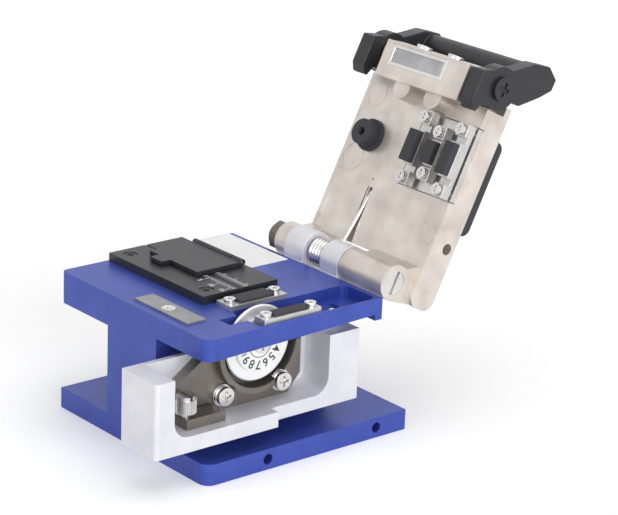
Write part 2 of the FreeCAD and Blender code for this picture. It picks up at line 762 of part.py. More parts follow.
def lid_casting():
    """Die-cast lid: plate, hinge barrels, nose with magnet block and lugs, clamp pocket, spring groove."""
    outline = [("lid_left", "lid_near"), ("barrel_end", "lid_near"), ("barrel_end", "-4"), ("lid_right", "-4"),
               ("lid_right", "lid_far"), ("lid_left", "lid_far")]
    body = profile_pad("lid_plate", "XY", outline, LID_OUTER, "lid_inner")
    outer, left, right = value(LID_OUTER), value("lid_left"), value("lid_right")
    rounded(body, "lid_round", lambda e: lies_along(e, Y_AXIS) and near(middle(e).z, outer)
            and near(middle(e).x, left), "lid_left_round")
    lip_end = value("-4")
    rounded(body, "barrel_back", lambda e: lies_along(e, X_AXIS) and near(middle(e).y, lip_end),
            "lid_lip_round")
    pieces = [body,
              box("lid_skin", ("lid_left", "lid_right"), ("lid_far - over", "lid_lip"),
                  (LID_OUTER, f"{LID_OUTER} + nose_drop")),
              box("nose_block", ("block_left", "block_right"), ("lid_far - over", "nose_end"),
                  (f"{LID_OUTER} + nose_drop", "block_face")),
              rod("nose_lugs", "X", "lug_radius", LUG_LEFT, LUG_RIGHT, "pivot_along", "pivot_out"),
              lid_hinge("left", "lid_left", "ear_left - side_gap"),
              lid_hinge("right", f"{EAR_RIGHT} + side_gap", "barrel_end")]
    for n, sign in enumerate(("-", "+")):
        pieces.append(rod(f"lid_boss_{n}", "Z", "boss_radius", "lid_inner - over", "-boss_below",
                          f"boss_middle {sign} boss_spacing / 2", "boss_along"))
    tools = [box("clamp_pocket", ("carrier_left - carrier_margin", "lid_right + over"),
                 ("pocket_near", "pocket_far"),
                 (POCKET_FLOOR, "lid_inner + over")),
             rod("lid_bore", "X", "shaft_radius", "lid_left - over", "barrel_end + over", "0", "0"),
             rod("shaft_head_seat", "X", "shaft_radius + 1.2", "barrel_end - 2", "barrel_end + over", "0", "0"),
             rod("lid_pin_hole", "X", "pin_hole_radius", "lid_right - pin_hole_depth", "lid_right + over",
                 "pin_hole_along",
                 "pin_hole_out"),
             box("magnet_seat", (MAGNET_LEFT, MAGNET_RIGHT), (MAGNET_NEAR, MAGNET_FAR),
                 ("block_face - magnet_depth", "block_face + over")),
             box("spring_groove", (f"{LEG_X} - spring_wire", f"{LEG_X} + spring_wire"),
                 ("lid_near - over", "leg_reach + spring_wire"),
                 ("-spring_radius - leg_drop - spring_wire", "lid_inner + over")),
             rod("bumper_hole", "Z", "stem_radius", "lid_inner - stem_depth", "lid_inner + over",
                 "bumper_across", "bumper_along")]
    for n, x in enumerate(magnet_screw_places()):
        tools.append(rod(f"magnet_thread_{n}", "Y", "magnet_screw_radius", "nose_end - magnet_screw_length",
                         "nose_end + over", x, "magnet_screw_out"))
    for n, (start, end) in enumerate(((f"{LUG_LEFT} - over", f"{LUG_LEFT} + 5"),
                                      (f"{LUG_RIGHT} - 5", f"{LUG_RIGHT} + over"))):
        tools.append(rod(f"pivot_thread_{n}", "X", "pivot_thread", start, end, "pivot_along", "pivot_out"))
    for n, (x, y) in enumerate(guide_places()):
        tools.append(rod(f"guide_thread_{n}", "Z", "guide_radius", f"{POCKET_FLOOR} - 3", "lid_inner + over",
                         x, y))
    lid_node(cut("lid_cut", fuse("lid_blank", *pieces), *tools), "lid_casting")


# ---------------------------------------------------------------- magnet
STRIP_IN_LID = "(hinge_back - front_side - strip_front - strip_width / 2)"
MAGNET_LEFT = "(strip_middle - strip_length / 2 + magnet_clearance)"
MAGNET_RIGHT = "(strip_middle + strip_length / 2 - magnet_clearance)"
MAGNET_NEAR = f"({STRIP_IN_LID} - strip_width / 2)"
MAGNET_FAR = f"({STRIP_IN_LID} + strip_width / 2)"


def magnet_screw_places():
    """Two screws in the nose's end face."""
    return [f"magnet_screw_middle {sign} magnet_screw_spacing / 2" for sign in ("-", "+")]


def magnet_set():
    """Magnet in a steel frame that faces the striker strip, and the two screws in the nose's end face."""
    inner = ((f"{MAGNET_LEFT} + magnet_border", f"{MAGNET_RIGHT} - magnet_border"),
             (f"{MAGNET_NEAR} + magnet_border", f"{MAGNET_FAR} - magnet_border"))
    frame = box("magnet_frame_blank", (MAGNET_LEFT, MAGNET_RIGHT), (MAGNET_NEAR, MAGNET_FAR),
                ("block_face - magnet_depth", "block_face"))
    hollow = box("magnet_frame_hollow", *inner, ("block_face - magnet_depth + magnet_floor",
                                                 "block_face + over"))
    lid_node(cut("magnet_frame_cut", frame, hollow), "magnet_frame")
    lid_node(box("magnet_bar", *inner, ("block_face - magnet_depth + magnet_floor",
                                        "block_face - magnet_sunk")), "magnet")
    screws = [pan_screw(f"magnet_screw_{n}", "Y", "magnet_screw_head", "magnet_screw_crown",
                        "magnet_screw_radius", "magnet_screw_length", "nose_end", x, "magnet_screw_out")
              for n, x in enumerate(magnet_screw_places())]
    lid_node(group("magnet_screw_set", screws), "magnet_screws")


# ---------------------------------------------------------------- shaft, nut and spring
def hinge_shaft():
    """Shaft through the ears, with a slotted head in the right barrel and a nut on its left end."""
    nut_left = "lid_left - nut_thickness"
    shank = rod("shaft_shank", "X", "shaft_radius", f"{nut_left} - over", "barrel_end - 2", "0", "0")
    head = rod("shaft_head", "X", "shaft_radius + 1.2", "barrel_end - 2", "barrel_end - 0.2", "0", "0")
    slot = box("shaft_slot", ("barrel_end - 1.2", "barrel_end + over"), ("-barrel_radius", "barrel_radius"),
               ("-0.45", "0.45"))
    lid_node(cut("shaft_cut", fuse("shaft_blank", shank, head), slot), "hinge_shaft")
    prism = hexagon("nut_prism", "nut_size", nut_left, "lid_left", "0", "0")
    bore = rod("nut_bore", "X", "shaft_radius", f"{nut_left} - over", "lid_left + over", "0", "0")
    trim = cone("nut_trim", "X", "nut_size / 2 - 0.6", "nut_size / 2 + nut_thickness", nut_left, "lid_left",
                "0", "0")
    shaped = doc.addObject("Part::Common", "nut_shaped")
    shaped.Base = prism
    shaped.Tool = trim
    lid_node(cut("nut_cut", shaped, bore), "hinge_nut")


def torsion_spring():
    """Coil round the shaft between the ears, with a straight leg that lies in the lid's groove."""
    wire, radius = value("spring_wire"), value("spring_radius")
    span = value("ear_gap - 2 * side_gap - spring_wire")
    start = value(f"{EAR_END} + side_gap + spring_wire / 2")
    helix = Part.makeHelix(span / value("spring_turns"), span, radius)
    path = helix.Edges[0]
    first = path.FirstParameter
    ring = Part.Wire(Part.makeCircle(wire / 2, path.valueAt(first), path.tangentAt(first)))
    coil = Part.Wire(helix).makePipeShell([ring], True, True)
    coil.Placement = FreeCAD.Placement(FreeCAD.Vector(start, 0, 0), FreeCAD.Rotation(Y_AXIS, 90))
    root = FreeCAD.Vector(value(LEG_X), 0, -radius)
    tip = FreeCAD.Vector(value(LEG_X), value("leg_reach"), -radius - value("leg_drop"))
    leg = Part.makeCylinder(wire / 2, (tip - root).Length, root, tip - root)
    spring = doc.addObject("Part::Feature", "spring_shape")
    spring.Shape = coil.fuse(leg)
    lid_node(spring, "torsion_spring")


# ---------------------------------------------------------------- lever, its points measured from the pivot
ARM_CORNERS = [(2.4, 8.4), (-5.7, 8.4), (-7.9, 7.0), (-8.0, 5.7), (-5.3, 4.5), (-5.2, -2.4), (-3.1, -4.8),
               (-2.0, -5.4), (-2.0, -8.4), (2.4, -14.5), (5.4, -17.8), (8.5, -17.9), (10.8, -13.9), (9.8, -8.6),
               (8.1, -5.9), (5.5, -1.6)]
LEVER_LEFT = "(lid_left - lever_overhang)"
LEVER_RIGHT = "(lid_right + lever_overhang)"


def release_lever():
    """U-shaped lever: two arms with feet and a round cross bar, and its two shouldered pivot screws."""
    corners = [(f"pivot_along + {u}", f"pivot_out + {v}") for u, v in ARM_CORNERS]
    pieces = [rod("lever_bar", "X", "bar_radius", LEVER_LEFT, LEVER_RIGHT, "bar_along", "bar_out")]
    for side, start in (("left", LEVER_LEFT), ("right", f"{LEVER_RIGHT} - lever_thickness")):
        end = f"{start} + lever_thickness"
        pieces.append(profile_pad(f"{side}_arm", "YZ", corners, start, end))
        pieces.append(rod(f"{side}_hub", "X", "hub_radius", start, end, "pivot_along", "pivot_out"))
    bore = rod("lever_bore", "X", "pivot_radius + running_gap", f"{LEVER_LEFT} - over", f"{LEVER_RIGHT} + over",
               "pivot_along", "pivot_out")
    lid_node(cut("lever_cut", fuse("lever_blank", *pieces), bore), "release_lever")
    screws = []
    ends = (("left", f"{LEVER_LEFT} - pivot_seat", -1, LUG_LEFT),
            ("right", f"{LEVER_RIGHT} + pivot_seat", 1, LUG_RIGHT))
    for side, seat, outward, lug in ends:
        span = (seat, lug) if outward < 0 else (lug, seat)
        shoulder = rod(f"{side}_shoulder", "X", "pivot_radius", *span, "pivot_along", "pivot_out")
        screw = pan_screw(f"{side}_pivot", "X", "pivot_head", "pivot_crown", "pivot_thread",
                         "lever_thickness + pivot_reach", seat,
                          "pivot_along", "pivot_out", outward)
        screws.append(fuse(f"{side}_pivot_screw", shoulder, screw))
    lid_node(group("pivot_screw_set", screws), "lever_pivot_screws")


# ---------------------------------------------------------------- soft pieces on the lid
def soft_pieces():
    """Rubber bumper over the adapter's cover and rubber grip pad on the outside of the lid."""
    place = ("bumper_across", "bumper_along")
    tip = "lid_inner + bumper_height"
    blank = fuse("bumper_blank", rod("bumper_flange", "Z", "flange_radius", "lid_inner",
                                     "lid_inner + flange_height",
                                     *place),
                 rod("bumper_post", "Z", "bumper_radius", "lid_inner", tip, *place),
                 rod("bumper_stem", "Z", "stem_radius", "lid_inner - stem_depth", "lid_inner + over", *place))
    cup = rod("bumper_cup", "Z", "bumper_radius / 3", "lid_inner + bumper_height / 2", f"{tip} + over", *place)
    lid_node(cut("bumper_cut", blank, cup), "lid_bumper")
    corners = [("grip_left", "grip_near"), ("grip_right", "grip_near"), ("grip_right", "grip_far"),
               ("grip_left", "grip_far")]
    pad = profile_pad("grip_blank", "XY", corners, f"{LID_OUTER} - grip_thickness", LID_OUTER)
    rounded(pad, "grip_corner", lambda e: lies_along(e, Z_AXIS), "grip_corners")
    face = value(f"{LID_OUTER} - grip_thickness")
    rounded(pad, "grip_edge", lambda e: near(middle(e).z, face), "grip_edges")
    lid_node(pad, "grip_pad")


# ---------------------------------------------------------------- upper clamps, in the lid's frame
CARRIER_TOP = f"({POCKET_FLOOR} + carrier_thickness)"
HEAD_BOTTOM = f"({POCKET_FLOOR} + carrier_thickness + clamp_travel + clamp_gap)"
HEADS = (("upper_clamp_block_left", "upper_pad_left", "left_across", "clamp_reach", "clamp_pad_length", "0"),
         ("anvil_block", "anvil_pad", "anvil_across", "anvil_reach", "anvil_pad_length", "-anvil_drop"),
         ("upper_clamp_block_right", "upper_pad_right", "right_across", "clamp_reach", "clamp_pad_length", "0"))


def guide_places():
    """Guide screws: one at each end of each clamp head."""
    return [(x, f"fibre_line {sign} {reach}") for _, _, x, reach, _, _ in HEADS for sign in ("-", "+")]


def upper_clamps():
    """Carrier plate in the lid's pocket, three sprung heads with rubber pads and the screws that guide them."""
    plate = box("carrier_blank", ("carrier_left", "lid_right - carrier_margin"),
                ("pocket_near + carrier_margin", "pocket_far - carrier_margin"),
                (POCKET_FLOOR, CARRIER_TOP))
    holes = [rod(f"carrier_hole_{n}", "Z", "guide_radius", f"{POCKET_FLOOR} - over", f"{CARRIER_TOP} + over",
                 x, y)
             for n, (x, y) in enumerate(guide_places())]
    lid_node(cut("carrier_cut", plate, *holes), "upper_clamp_plate")
    for block, pad, x, reach, length, face in HEADS:
        side = (f"{x} - head_width / 2", f"{x} + head_width / 2")
        low = f"{face} - pad_thickness"
        far = f"{reach} + end_block_length / 2"
        pieces = [box(f"{block}_foot", side, (f"fibre_line - {far}", f"fibre_line + {far}"),
                      (HEAD_BOTTOM, f"{HEAD_BOTTOM} + foot_thickness")),
                  box(f"{block}_middle", side, (f"fibre_line - {length} / 2 - 0.5",
                                                f"fibre_line + {length} / 2 + 0.5"),
                      (HEAD_BOTTOM, low))]
        holes = []
        for sign in ("-", "+"):
            key = "near" if sign == "-" else "far"
            place = f"fibre_line {sign} {reach}"
            pieces.append(box(f"{block}_{key}", side, (f"{place} - end_block_length / 2",
                                                       f"{place} + end_block_length / 2"),
                              (HEAD_BOTTOM, "end_block_top")))
            holes.append(rod(f"{block}_guide_{key}", "Z", "guide_radius + running_gap",
                             f"{HEAD_BOTTOM} - over", "1", x,
                             place))
        lid_node(cut(f"{block}_cut", fuse(f"{block}_blank", *pieces), *holes), block)
        lid_node(box(f"{pad}_bar", (f"{x} - head_width / 2 + pad_inset", f"{x} + head_width / 2 - pad_inset"),
                     (f"fibre_line - {length} / 2", f"fibre_line + {length} / 2"), (low, face)), pad)
    seat = "(end_block_top + screw_air)"
    screws = [pan_screw(f"guide_screw_{n}", "Z", "guide_head", "guide_head_height", "guide_radius",
                        f"{seat} - {POCKET_FLOOR} + guide_grip", seat, x, y) for n, (x, y) in enumerate(guide_places())]
    lid_node(group("guide_screw_set", screws), "upper_clamp_screws")


# ---------------------------------------------------------------- lower clamps
FIBRE_Y = "fibre_along"
LOWER = (("left", "lower_a_across", "lower_a_width", "0", "top_height"),
         ("right", "lower_b_across", "lower_b_width", "lower_b_shift", RECESS_FLOOR))


def lower_screw_places():
    """A screw at each end of each lower clamp, with the height of the floor below it."""
    return [(x, f"{FIBRE_Y} + {shift} {sign} (lower_length / 2 - lower_screw_inset)", floor)
            for _, x, _, shift, floor in LOWER for sign in ("-", "+")]


def lower_clamps():
    """Pad seats each side of the blade slot, the right one standing on the recess floor."""
    top = "top_height + lower_height"
    for name, x, width, shift, floor in LOWER:
        middle_y = f"{FIBRE_Y} + {shift}"
        blank = box(f"lower_{name}_blank", (f"{x} - {width} / 2", f"{x} + {width} / 2"),
                    (f"{middle_y} - lower_length / 2", f"{middle_y} + lower_length / 2"), (floor, top))
        pad_x = (f"{x} - {width} / 2 + lower_pad_border", f"{x} + {width} / 2 - lower_pad_border")
        pad_y = (f"{middle_y} - lower_pad_length / 2", f"{middle_y} + lower_pad_length / 2")
        tools = [box(f"lower_{name}_seat", pad_x, pad_y, (f"{top} - lower_pad_seat", f"{top} + over"))]
        for n, sign in enumerate(("-", "+")):
            tools.append(rod(f"lower_{name}_hole_{n}", "Z", "guide_radius", f"{floor} - over",
                             f"{top} + over", x,
                             f"{middle_y} {sign} (lower_length / 2 - lower_screw_inset)"))
        node(cut(f"lower_{name}_cut", blank, *tools), f"lower_clamp_frame_{name}")
        node(box(f"lower_{name}_bar", pad_x, pad_y, (f"{top} - lower_pad_seat", "fibre_height")),
             f"lower_pad_{name}")
    screws = [pan_screw(f"lower_screw_{n}", "Z", "guide_head", "guide_head_height", "guide_radius",
                        f"{top} - {floor} + lower_grip", top, x, y)
              for n, (x, y, floor) in enumerate(lower_screw_places())]
    node(group("lower_screw_set", screws), "lower_clamp_screws")


# ---------------------------------------------------------------- fibre adapter
ADAPTER_TOP = "(top_height + adapter_height)"
COVER_LOW = "(top_height + adapter_height + cover_gap)"
COVER_AXIS = "(top_height + adapter_height + cover_gap + knuckle_radius)"


def adapter_screw_places():
    """Two screws through the front of the adapter, clear of its cover."""
    return [(f"adapter_left + adapter_screw_inset", "adapter_front + adapter_screw_inset"),
            (f"adapter_right - adapter_screw_inset", "adapter_front + adapter_screw_inset")]


def adapter_base():
    """Rail with a V groove for the fibre and the middle knuckle of its cover's hinge."""
    inner = ("cover_left + knuckle_length + side_gap", "cover_right - knuckle_length - side_gap")
    rail = box("adapter_rail", ("adapter_left", "adapter_right"), ("adapter_front", "adapter_back"),
               ("top_height", ADAPTER_TOP))
    post = box("adapter_post", inner, ("cover_hinge - knuckle_radius", "cover_hinge + knuckle_radius"),
               (f"{ADAPTER_TOP} - over", COVER_AXIS))
    knuckle = rod("adapter_knuckle", "X", "knuckle_radius", *inner, "cover_hinge", COVER_AXIS)
    corners = [(FIBRE_Y, f"{ADAPTER_TOP} - groove_depth"), (f"{FIBRE_Y} + 2 * groove_depth",
                                                            f"{ADAPTER_TOP} + groove_depth"),
               (f"{FIBRE_Y} - 2 * groove_depth", f"{ADAPTER_TOP} + groove_depth")]
    tools = [profile_pad("adapter_groove", "YZ", corners, "adapter_left - over", "adapter_right + over"),
             rod("adapter_pin_bore", "X", "cover_pin_radius", *inner, "cover_hinge", COVER_AXIS)]
    for n, (x, y) in enumerate(adapter_screw_places()):
        tools.append(rod(f"adapter_hole_{n}", "Z", "small_screw", "top_height - over",
                         f"{ADAPTER_TOP} + over", x, y))
        tools.append(rod(f"adapter_sink_{n}", "Z", "small_head", f"{ADAPTER_TOP} - adapter_sink",
                         f"{ADAPTER_TOP} + over", x, y))
    node(cut("adapter_cut", fuse("adapter_blank", rail, post, knuckle), *tools), "adapter_base")
    screws = [pan_screw(f"adapter_screw_{n}", "Z", "small_head - 0.1", "1", "small_screw",
                        "adapter_height + adapter_grip - adapter_sink",
                        f"{ADAPTER_TOP} - adapter_sink", x, y) for n, (x, y) in enumerate(adapter_screw_places())]
    node(group("adapter_screw_set", screws), "adapter_screws")
    node(rod("cover_pin_rod", "X", "cover_pin_radius", "cover_left + 0.3", "cover_right - 0.3", "cover_hinge",
             COVER_AXIS), "adapter_cover_pin")


def adapter_cover():
    """Flat cover with a finger tab, whose two end knuckles turn on the pin."""
    top = f"{COVER_LOW} + cover_thickness"
    edge = "cover_hinge - knuckle_radius - cover_gap"
    pieces = [box("cover_plate", ("cover_left", "cover_right"), ("cover_front", edge), (COVER_LOW, top)),
              box("cover_tab", ("tab_left", "tab_left + tab_width"), ("cover_front - tab_reach", "cover_front"),
                  (COVER_LOW, top))]
    for side, start, end in (("left", "cover_left", "cover_left + knuckle_length"),
                             ("right", "cover_right - knuckle_length", "cover_right")):
        pieces.append(box(f"cover_arm_{side}", (start, end), (edge, "cover_hinge"), (COVER_LOW, top)))
        pieces.append(rod(f"cover_knuckle_{side}", "X", "knuckle_radius", start, end, "cover_hinge",
                          COVER_AXIS))
    bore = rod("cover_bore", "X", "cover_pin_radius + running_gap", "cover_left - over", "cover_right + over",
               "cover_hinge", COVER_AXIS)
    node(cut("cover_cut", fuse("cover_blank", *pieces), bore), "adapter_cover")


# ---------------------------------------------------------------- slider and its linear guide
WEB_FACE = "(slider_left + slider_web)"
RAIL_TOP = "(column_right + rail_height)"
RAIL_MIDDLE = "((rail_front + rail_back) / 2)"


def rail_screw_places():
    """Three screws through the rail into the column."""
    return [f"{RAIL_MIDDLE} + {k} * (rail_back - rail_front) / 3" for k in (-1, 0, 1)]


def carriage_screw_places():
    """Two screws from the slider's web into the carriage, as (along, height)."""
    return [(f"carriage_middle {sign} carriage_screw_along", "rail_centre + carriage_screw_rise")
            for sign in ("-", "+")]


def slider_block():
    """U-shaped slider: front grip, floor and rear end before a thin web, the rear end set back."""
    outline = [("slider_front", "slider_bottom"), ("slider_back", "slider_bottom"),
               ("slider_back", "slider_top"),
               ("slider_front", "slider_top")]
    body = profile_pad("slider_blank", "YZ", outline, "slider_left", "slider_right")
    front, side = value("slider_front"), value("slider_right")
    rounded(body, "slider_corner", lambda e: lies_along(e, Z_AXIS) and near(middle(e).y, front)
            and near(middle(e).x, side), "slider_front_round")
    corners = [("pocket_front", "pocket_floor"), ("pocket_back", "pocket_floor"),
               ("pocket_back", "slider_top + over"),
               ("pocket_front", "slider_top + over")]
    pocket = profile_pad("slider_pocket", "YZ", corners, WEB_FACE, "slider_right + over")
    floor = value("pocket_floor")
    rounded(pocket, "pocket_corner", lambda e: lies_along(e, X_AXIS) and near(middle(e).z, floor),
            "pocket_rounds")
    tools = [pocket,
             box("slider_rear_step", ("slider_rear_right", "slider_right + over"),
                 ("slider_step", "slider_back + over"),
                 ("slider_bottom - over", "slider_top + over")),
             box("slider_under_step", ("slider_left - over", "slider_right + over"),
                 ("slider_step", "slider_back + over"),
                 ("slider_bottom - over", "slider_bottom + slider_rise"))]
    for n, (y, z) in enumerate(fixing_places()):
        tools.append(rod(f"slider_thread_{n}", "X", "fixing_radius", "slider_left - over",
                         f"{WEB_FACE} + over", y, z))
    for n, place in enumerate(carriage_screw_places()):
        tools.append(rod(f"web_hole_{n}", "X", "rail_screw", "slider_left - over", f"{WEB_FACE} + over",
                         *place))
        tools.append(cone(f"web_sink_{n}", "X", "rail_screw", "rail_screw_head",
                          f"{WEB_FACE} - (rail_screw_head - rail_screw)", WEB_FACE, *place))
    node(cut("slider_cut", body, *tools), "slider_block")


def linear_guide():
    """Miniature grooved rail on the column, and the carriage that carries the slider."""
    low, high = "(rail_centre - rail_width / 2)", "(rail_centre + rail_width / 2)"
    corners = [("column_right", low), (f"{RAIL_TOP} - 4 * rail_groove", low),
               (f"{RAIL_TOP} - 3 * rail_groove", f"{low} + rail_groove"), (f"{RAIL_TOP} - 2 * rail_groove",
                                                                           low),
               (RAIL_TOP, low), (RAIL_TOP, high), (f"{RAIL_TOP} - 2 * rail_groove", high),
               (f"{RAIL_TOP} - 3 * rail_groove", f"{high} - rail_groove"),
               (f"{RAIL_TOP} - 4 * rail_groove", high), ("column_right", high)]
    rail = profile_pad("rail_blank", "XZ", corners, "-rail_back", "-rail_front")
    tools = []
    for n, y in enumerate(rail_screw_places()):
        tools.append(rod(f"rail_hole_{n}", "X", "rail_screw", "column_right - over", f"{RAIL_TOP} + over", y,
                         "rail_centre"))
        tools.append(rod(f"rail_sink_{n}", "X", "rail_screw_head", f"{RAIL_TOP} - rail_sink",
                         f"{RAIL_TOP} + over", y,
                         "rail_centre"))
    node(cut("rail_cut", rail, *tools), "slide_rail")
    screws = [pan_screw(f"rail_screw_{n}", "X", "rail_screw_head - 0.05", "1.1", "rail_screw",
                        "rail_height + rail_grip - rail_sink",
                        f"{RAIL_TOP} - rail_sink", y, "rail_centre") for n, y in enumerate(rail_screw_places())]
    node(group("rail_screw_set", screws), "rail_screws")
    block = box("carriage_blank", ("column_right + over", "slider_left"),
                ("carriage_middle - carriage_length / 2", "carriage_middle + carriage_length / 2"),
                ("rail_centre - carriage_width / 2", "rail_centre + carriage_width / 2"))
    channel = box("carriage_channel", ("column_right", f"{RAIL_TOP} + carriage_gap"),
                  ("carriage_middle - carriage_length", "carriage_middle + carriage_length"),
                  (f"{low} - carriage_gap", f"{high} + carriage_gap"))
    threads = [rod(f"carriage_thread_{n}", "X", "rail_screw", "slider_left - carriage_grip",
                   "slider_left + over", *place)
               for n, place in enumerate(carriage_screw_places())]
    node(cut("carriage_cut", block, channel, *threads), "slide_carriage")
    screws = []
    for n, place in enumerate(carriage_screw_places()):
        head = cone(f"carriage_head_{n}", "X", "rail_screw", "rail_screw_head",
                    f"{WEB_FACE} - (rail_screw_head - rail_screw)", WEB_FACE, *place)
        shank = rod(f"carriage_shank_{n}", "X", "rail_screw", "slider_left - carriage_grip", WEB_FACE, *place)
        screws.append(fuse(f"carriage_screw_{n}", head, shank))
    node(group("carriage_screw_set", screws), "carriage_screws")


# ---------------------------------------------------------------- blade bracket, blade and dial
PLATE_FACE = "plate_face"
BLADE_FACE = "(blade_back + blade_thickness)"
DIAL_FACE = "(blade_back + blade_thickness + dial_thickness)"
BLADE = ("blade_along", "blade_height")


def fixing_places():
    """Bracket screws, as (along, height)."""
    return (("fixing_front", "fixing_height"), ("fixing_rear", "fixing_height"))


def blade_bracket():
    """Cast plate on the pocket floor with a round hollow behind the blade and a guard wall below it."""
    corners = [("bracket_front", "pocket_floor + pocket_corner"), ("bracket_front", "blade_height - 8"),
               ("blade_along - 13.5", "bracket_top"), ("bracket_rear", "bracket_top"),
               ("bracket_rear", "pocket_floor + pocket_corner"), ("bracket_rear - 4", "pocket_floor"),
               ("bracket_front + 4", "pocket_floor")]
    plate = profile_pad("bracket_plate", "YZ", corners, WEB_FACE, PLATE_FACE)
    wall = rod("guard_wall_rod", "X", "guard_inner + guard_wall", f"{PLATE_FACE} - over",
               f"{PLATE_FACE} + guard_height",
               *BLADE)
    upper_half = box("guard_upper_half", ("slider_left", "slider_right"),
                     ("bracket_front", "bracket_rear + 20"),
                     ("blade_height - over", "blade_height + 2 * guard_inner"))
    rear_trim = box("guard_rear_trim", ("slider_left", "slider_right"), ("bracket_rear", "bracket_rear + 20"),
                    ("pocket_floor", "top_height"))
    guard = cut("guard_half", wall, upper_half, rear_trim)
    hub_rod = rod("hub_seat_rod", "X", "hub_seat", WEB_FACE, "blade_back - seat_air", *BLADE)
    hub_top = box("hub_seat_top", ("slider_left", "slider_right"), ("blade_along - 9", "blade_along + 9"),
                  (f"{ROOF} + roof_air", "blade_height + 9"))
    hub = cut("hub_seat_cut", hub_rod, hub_top)
    hollow = rod("bracket_hollow", "X", "guard_inner", f"{PLATE_FACE} - hollow_depth",
                 f"{PLATE_FACE} + guard_height + over", *BLADE)
    shell = cut("bracket_shell", fuse("bracket_solid", plate, guard), hollow)
    tools = [rod("axle_bore", "X", "axle_radius + running_gap", "slider_left", "slider_right", *BLADE)]
    for n, (y, z) in enumerate(fixing_places()):
        tools.append(rod(f"fixing_hole_{n}", "X", "fixing_radius", "slider_left", "slider_right", y, z))
        tools.append(rod(f"washer_room_{n}", "X", "washer_radius + washer_room", PLATE_FACE, "slider_right",
                         y, z))
    node(cut("bracket_plate_cut", fuse("bracket_plate_blank", shell, hub), *tools), "blade_bracket")
    washers, screws = [], []
    for n, (y, z) in enumerate(fixing_places()):
        disc = rod(f"washer_disc_{n}", "X", "washer_radius", PLATE_FACE, f"{PLATE_FACE} + washer_thickness",
                   y, z)
        bore = rod(f"washer_bore_{n}", "X", "fixing_radius", "slider_left", "slider_right", y, z)
        washers.append(cut(f"washer_{n}", disc, bore))
        screws.append(pan_screw(f"fixing_screw_{n}", "X", "fixing_head", "fixing_crown", "fixing_radius",
                                f"{PLATE_FACE} + washer_thickness - slider_left - fixing_air",
                                f"{PLATE_FACE} + washer_thickness", y, z))
    node(group("washer_set", washers), "bracket_washers")
    node(group("fixing_set", screws), "bracket_screws")


def blade_set():
    """Round blade with a ground edge, its numbered dial and the axle screw that they turn with."""
    disc = rod("blade_blank", "X", "blade_radius", "blade_back", BLADE_FACE, *BLADE)
    doc.recompute()
    edge = doc.addObject("Part::Chamfer", "blade_ground")
    edge.Base = disc
    bevel = value("blade_thickness / 2 - 0.1")
    edge.Edges = [(n, bevel, bevel) for n, e in enumerate(disc.Shape.Edges, start=1) if isinstance(e.Curve,
                                                                                                   Part.Circle)]
    bore = rod("blade_bore", "X", "axle_radius", "slider_left", "slider_right", *BLADE)
    node(cut("blade_cut", edge, bore), "cutting_disc")
    dial = rod("dial_blank", "X", "dial_radius", BLADE_FACE, DIAL_FACE, *BLADE)
    dial_bore = rod("dial_bore", "X", "axle_radius", "slider_left", "slider_right", *BLADE)
    node(cut("dial_cut", dial, dial_bore), "blade_dial")
    node(pan_screw("axle_screw_cut", "X", "axle_head", "axle_crown", "axle_radius",
                   f"{DIAL_FACE} - {WEB_FACE} - axle_air",
                   DIAL_FACE, *BLADE), "blade_axle")


def height_screw():
    """Slotted round knob that sets the blade height, standing on a foot block in the pocket."""
    foot_top = "(pocket_floor + foot_height)"
    place = ("knob_across", "knob_along")
    foot = box("foot_blank", ("foot_left", "foot_right"), ("foot_front", "foot_back"),
               ("pocket_floor", foot_top))
    bore = rod("foot_bore", "Z", "knob_stem", f"{foot_top} - stem_sunk", f"{foot_top} + over", *place)
    node(cut("foot_cut", foot, bore), "height_screw_foot")
    base = f"({foot_top} + knob_gap)"
    body = rod("knob_body", "Z", "knob_radius", base, f"{base} + knob_height", *place)
    stem = rod("knob_stem_rod", "Z", "knob_stem", f"{foot_top} - stem_sunk", base, *place)
    slot = box("knob_slot", ("knob_across - knob_radius", "knob_across + knob_radius"),
               ("knob_along - knob_slot_half", "knob_along + knob_slot_half"), (f"{base} + knob_height - knob_slot_depth", f"{base} + knob_height + over"))
    node(cut("knob_cut", fuse("knob_blank", body, stem), slot), "height_screw")


# ---------------------------------------------------------------- build, check and export
base_plate()
base_screws()
frame_body()
striker_strip()
hinge_bracket()
lid_casting()
magnet_set()
hinge_shaft()
torsion_spring()
release_lever()
soft_pieces()
upper_clamps()
lower_clamps()
adapter_base()
adapter_cover()
slider_block()
linear_guide()
blade_bracket()
blade_set()
height_screw()
doc.recompute()

for item in doc.Objects:
    faults = [state for state in item.State if state in ("Invalid", "Error")]
    if faults:
        raise RuntimeError(f"{item.Name} is {faults}")

os.makedirs("parts", exist_ok=True)
for item in parts:
    shape = item.Shape
    if shape.isNull() or not shape.isValid():
        raise RuntimeError(f"{item.Label} has no valid shape")
    shape.exportStep(os.path.join("parts", item.Label + ".step"))
    print(item.Label, len(shape.Solids), round(shape.Volume, 1))
print(len(parts), "sub-parts")
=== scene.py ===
"""Fibre cleaver with its lid open: finishes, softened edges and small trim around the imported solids.

Sizes are millimetres and angles are degrees, unless a comment says otherwise, and MM turns sizes into the
frame's metres. +X runs right along the fibre, +Y back to the hinge, and +Z up from the table.
"""

from __future__ import annotations

import json
import logging
import math
from dataclasses import dataclass, field
from enum import Enum

import bmesh
import bpy
from mathutils import Matrix, Vector

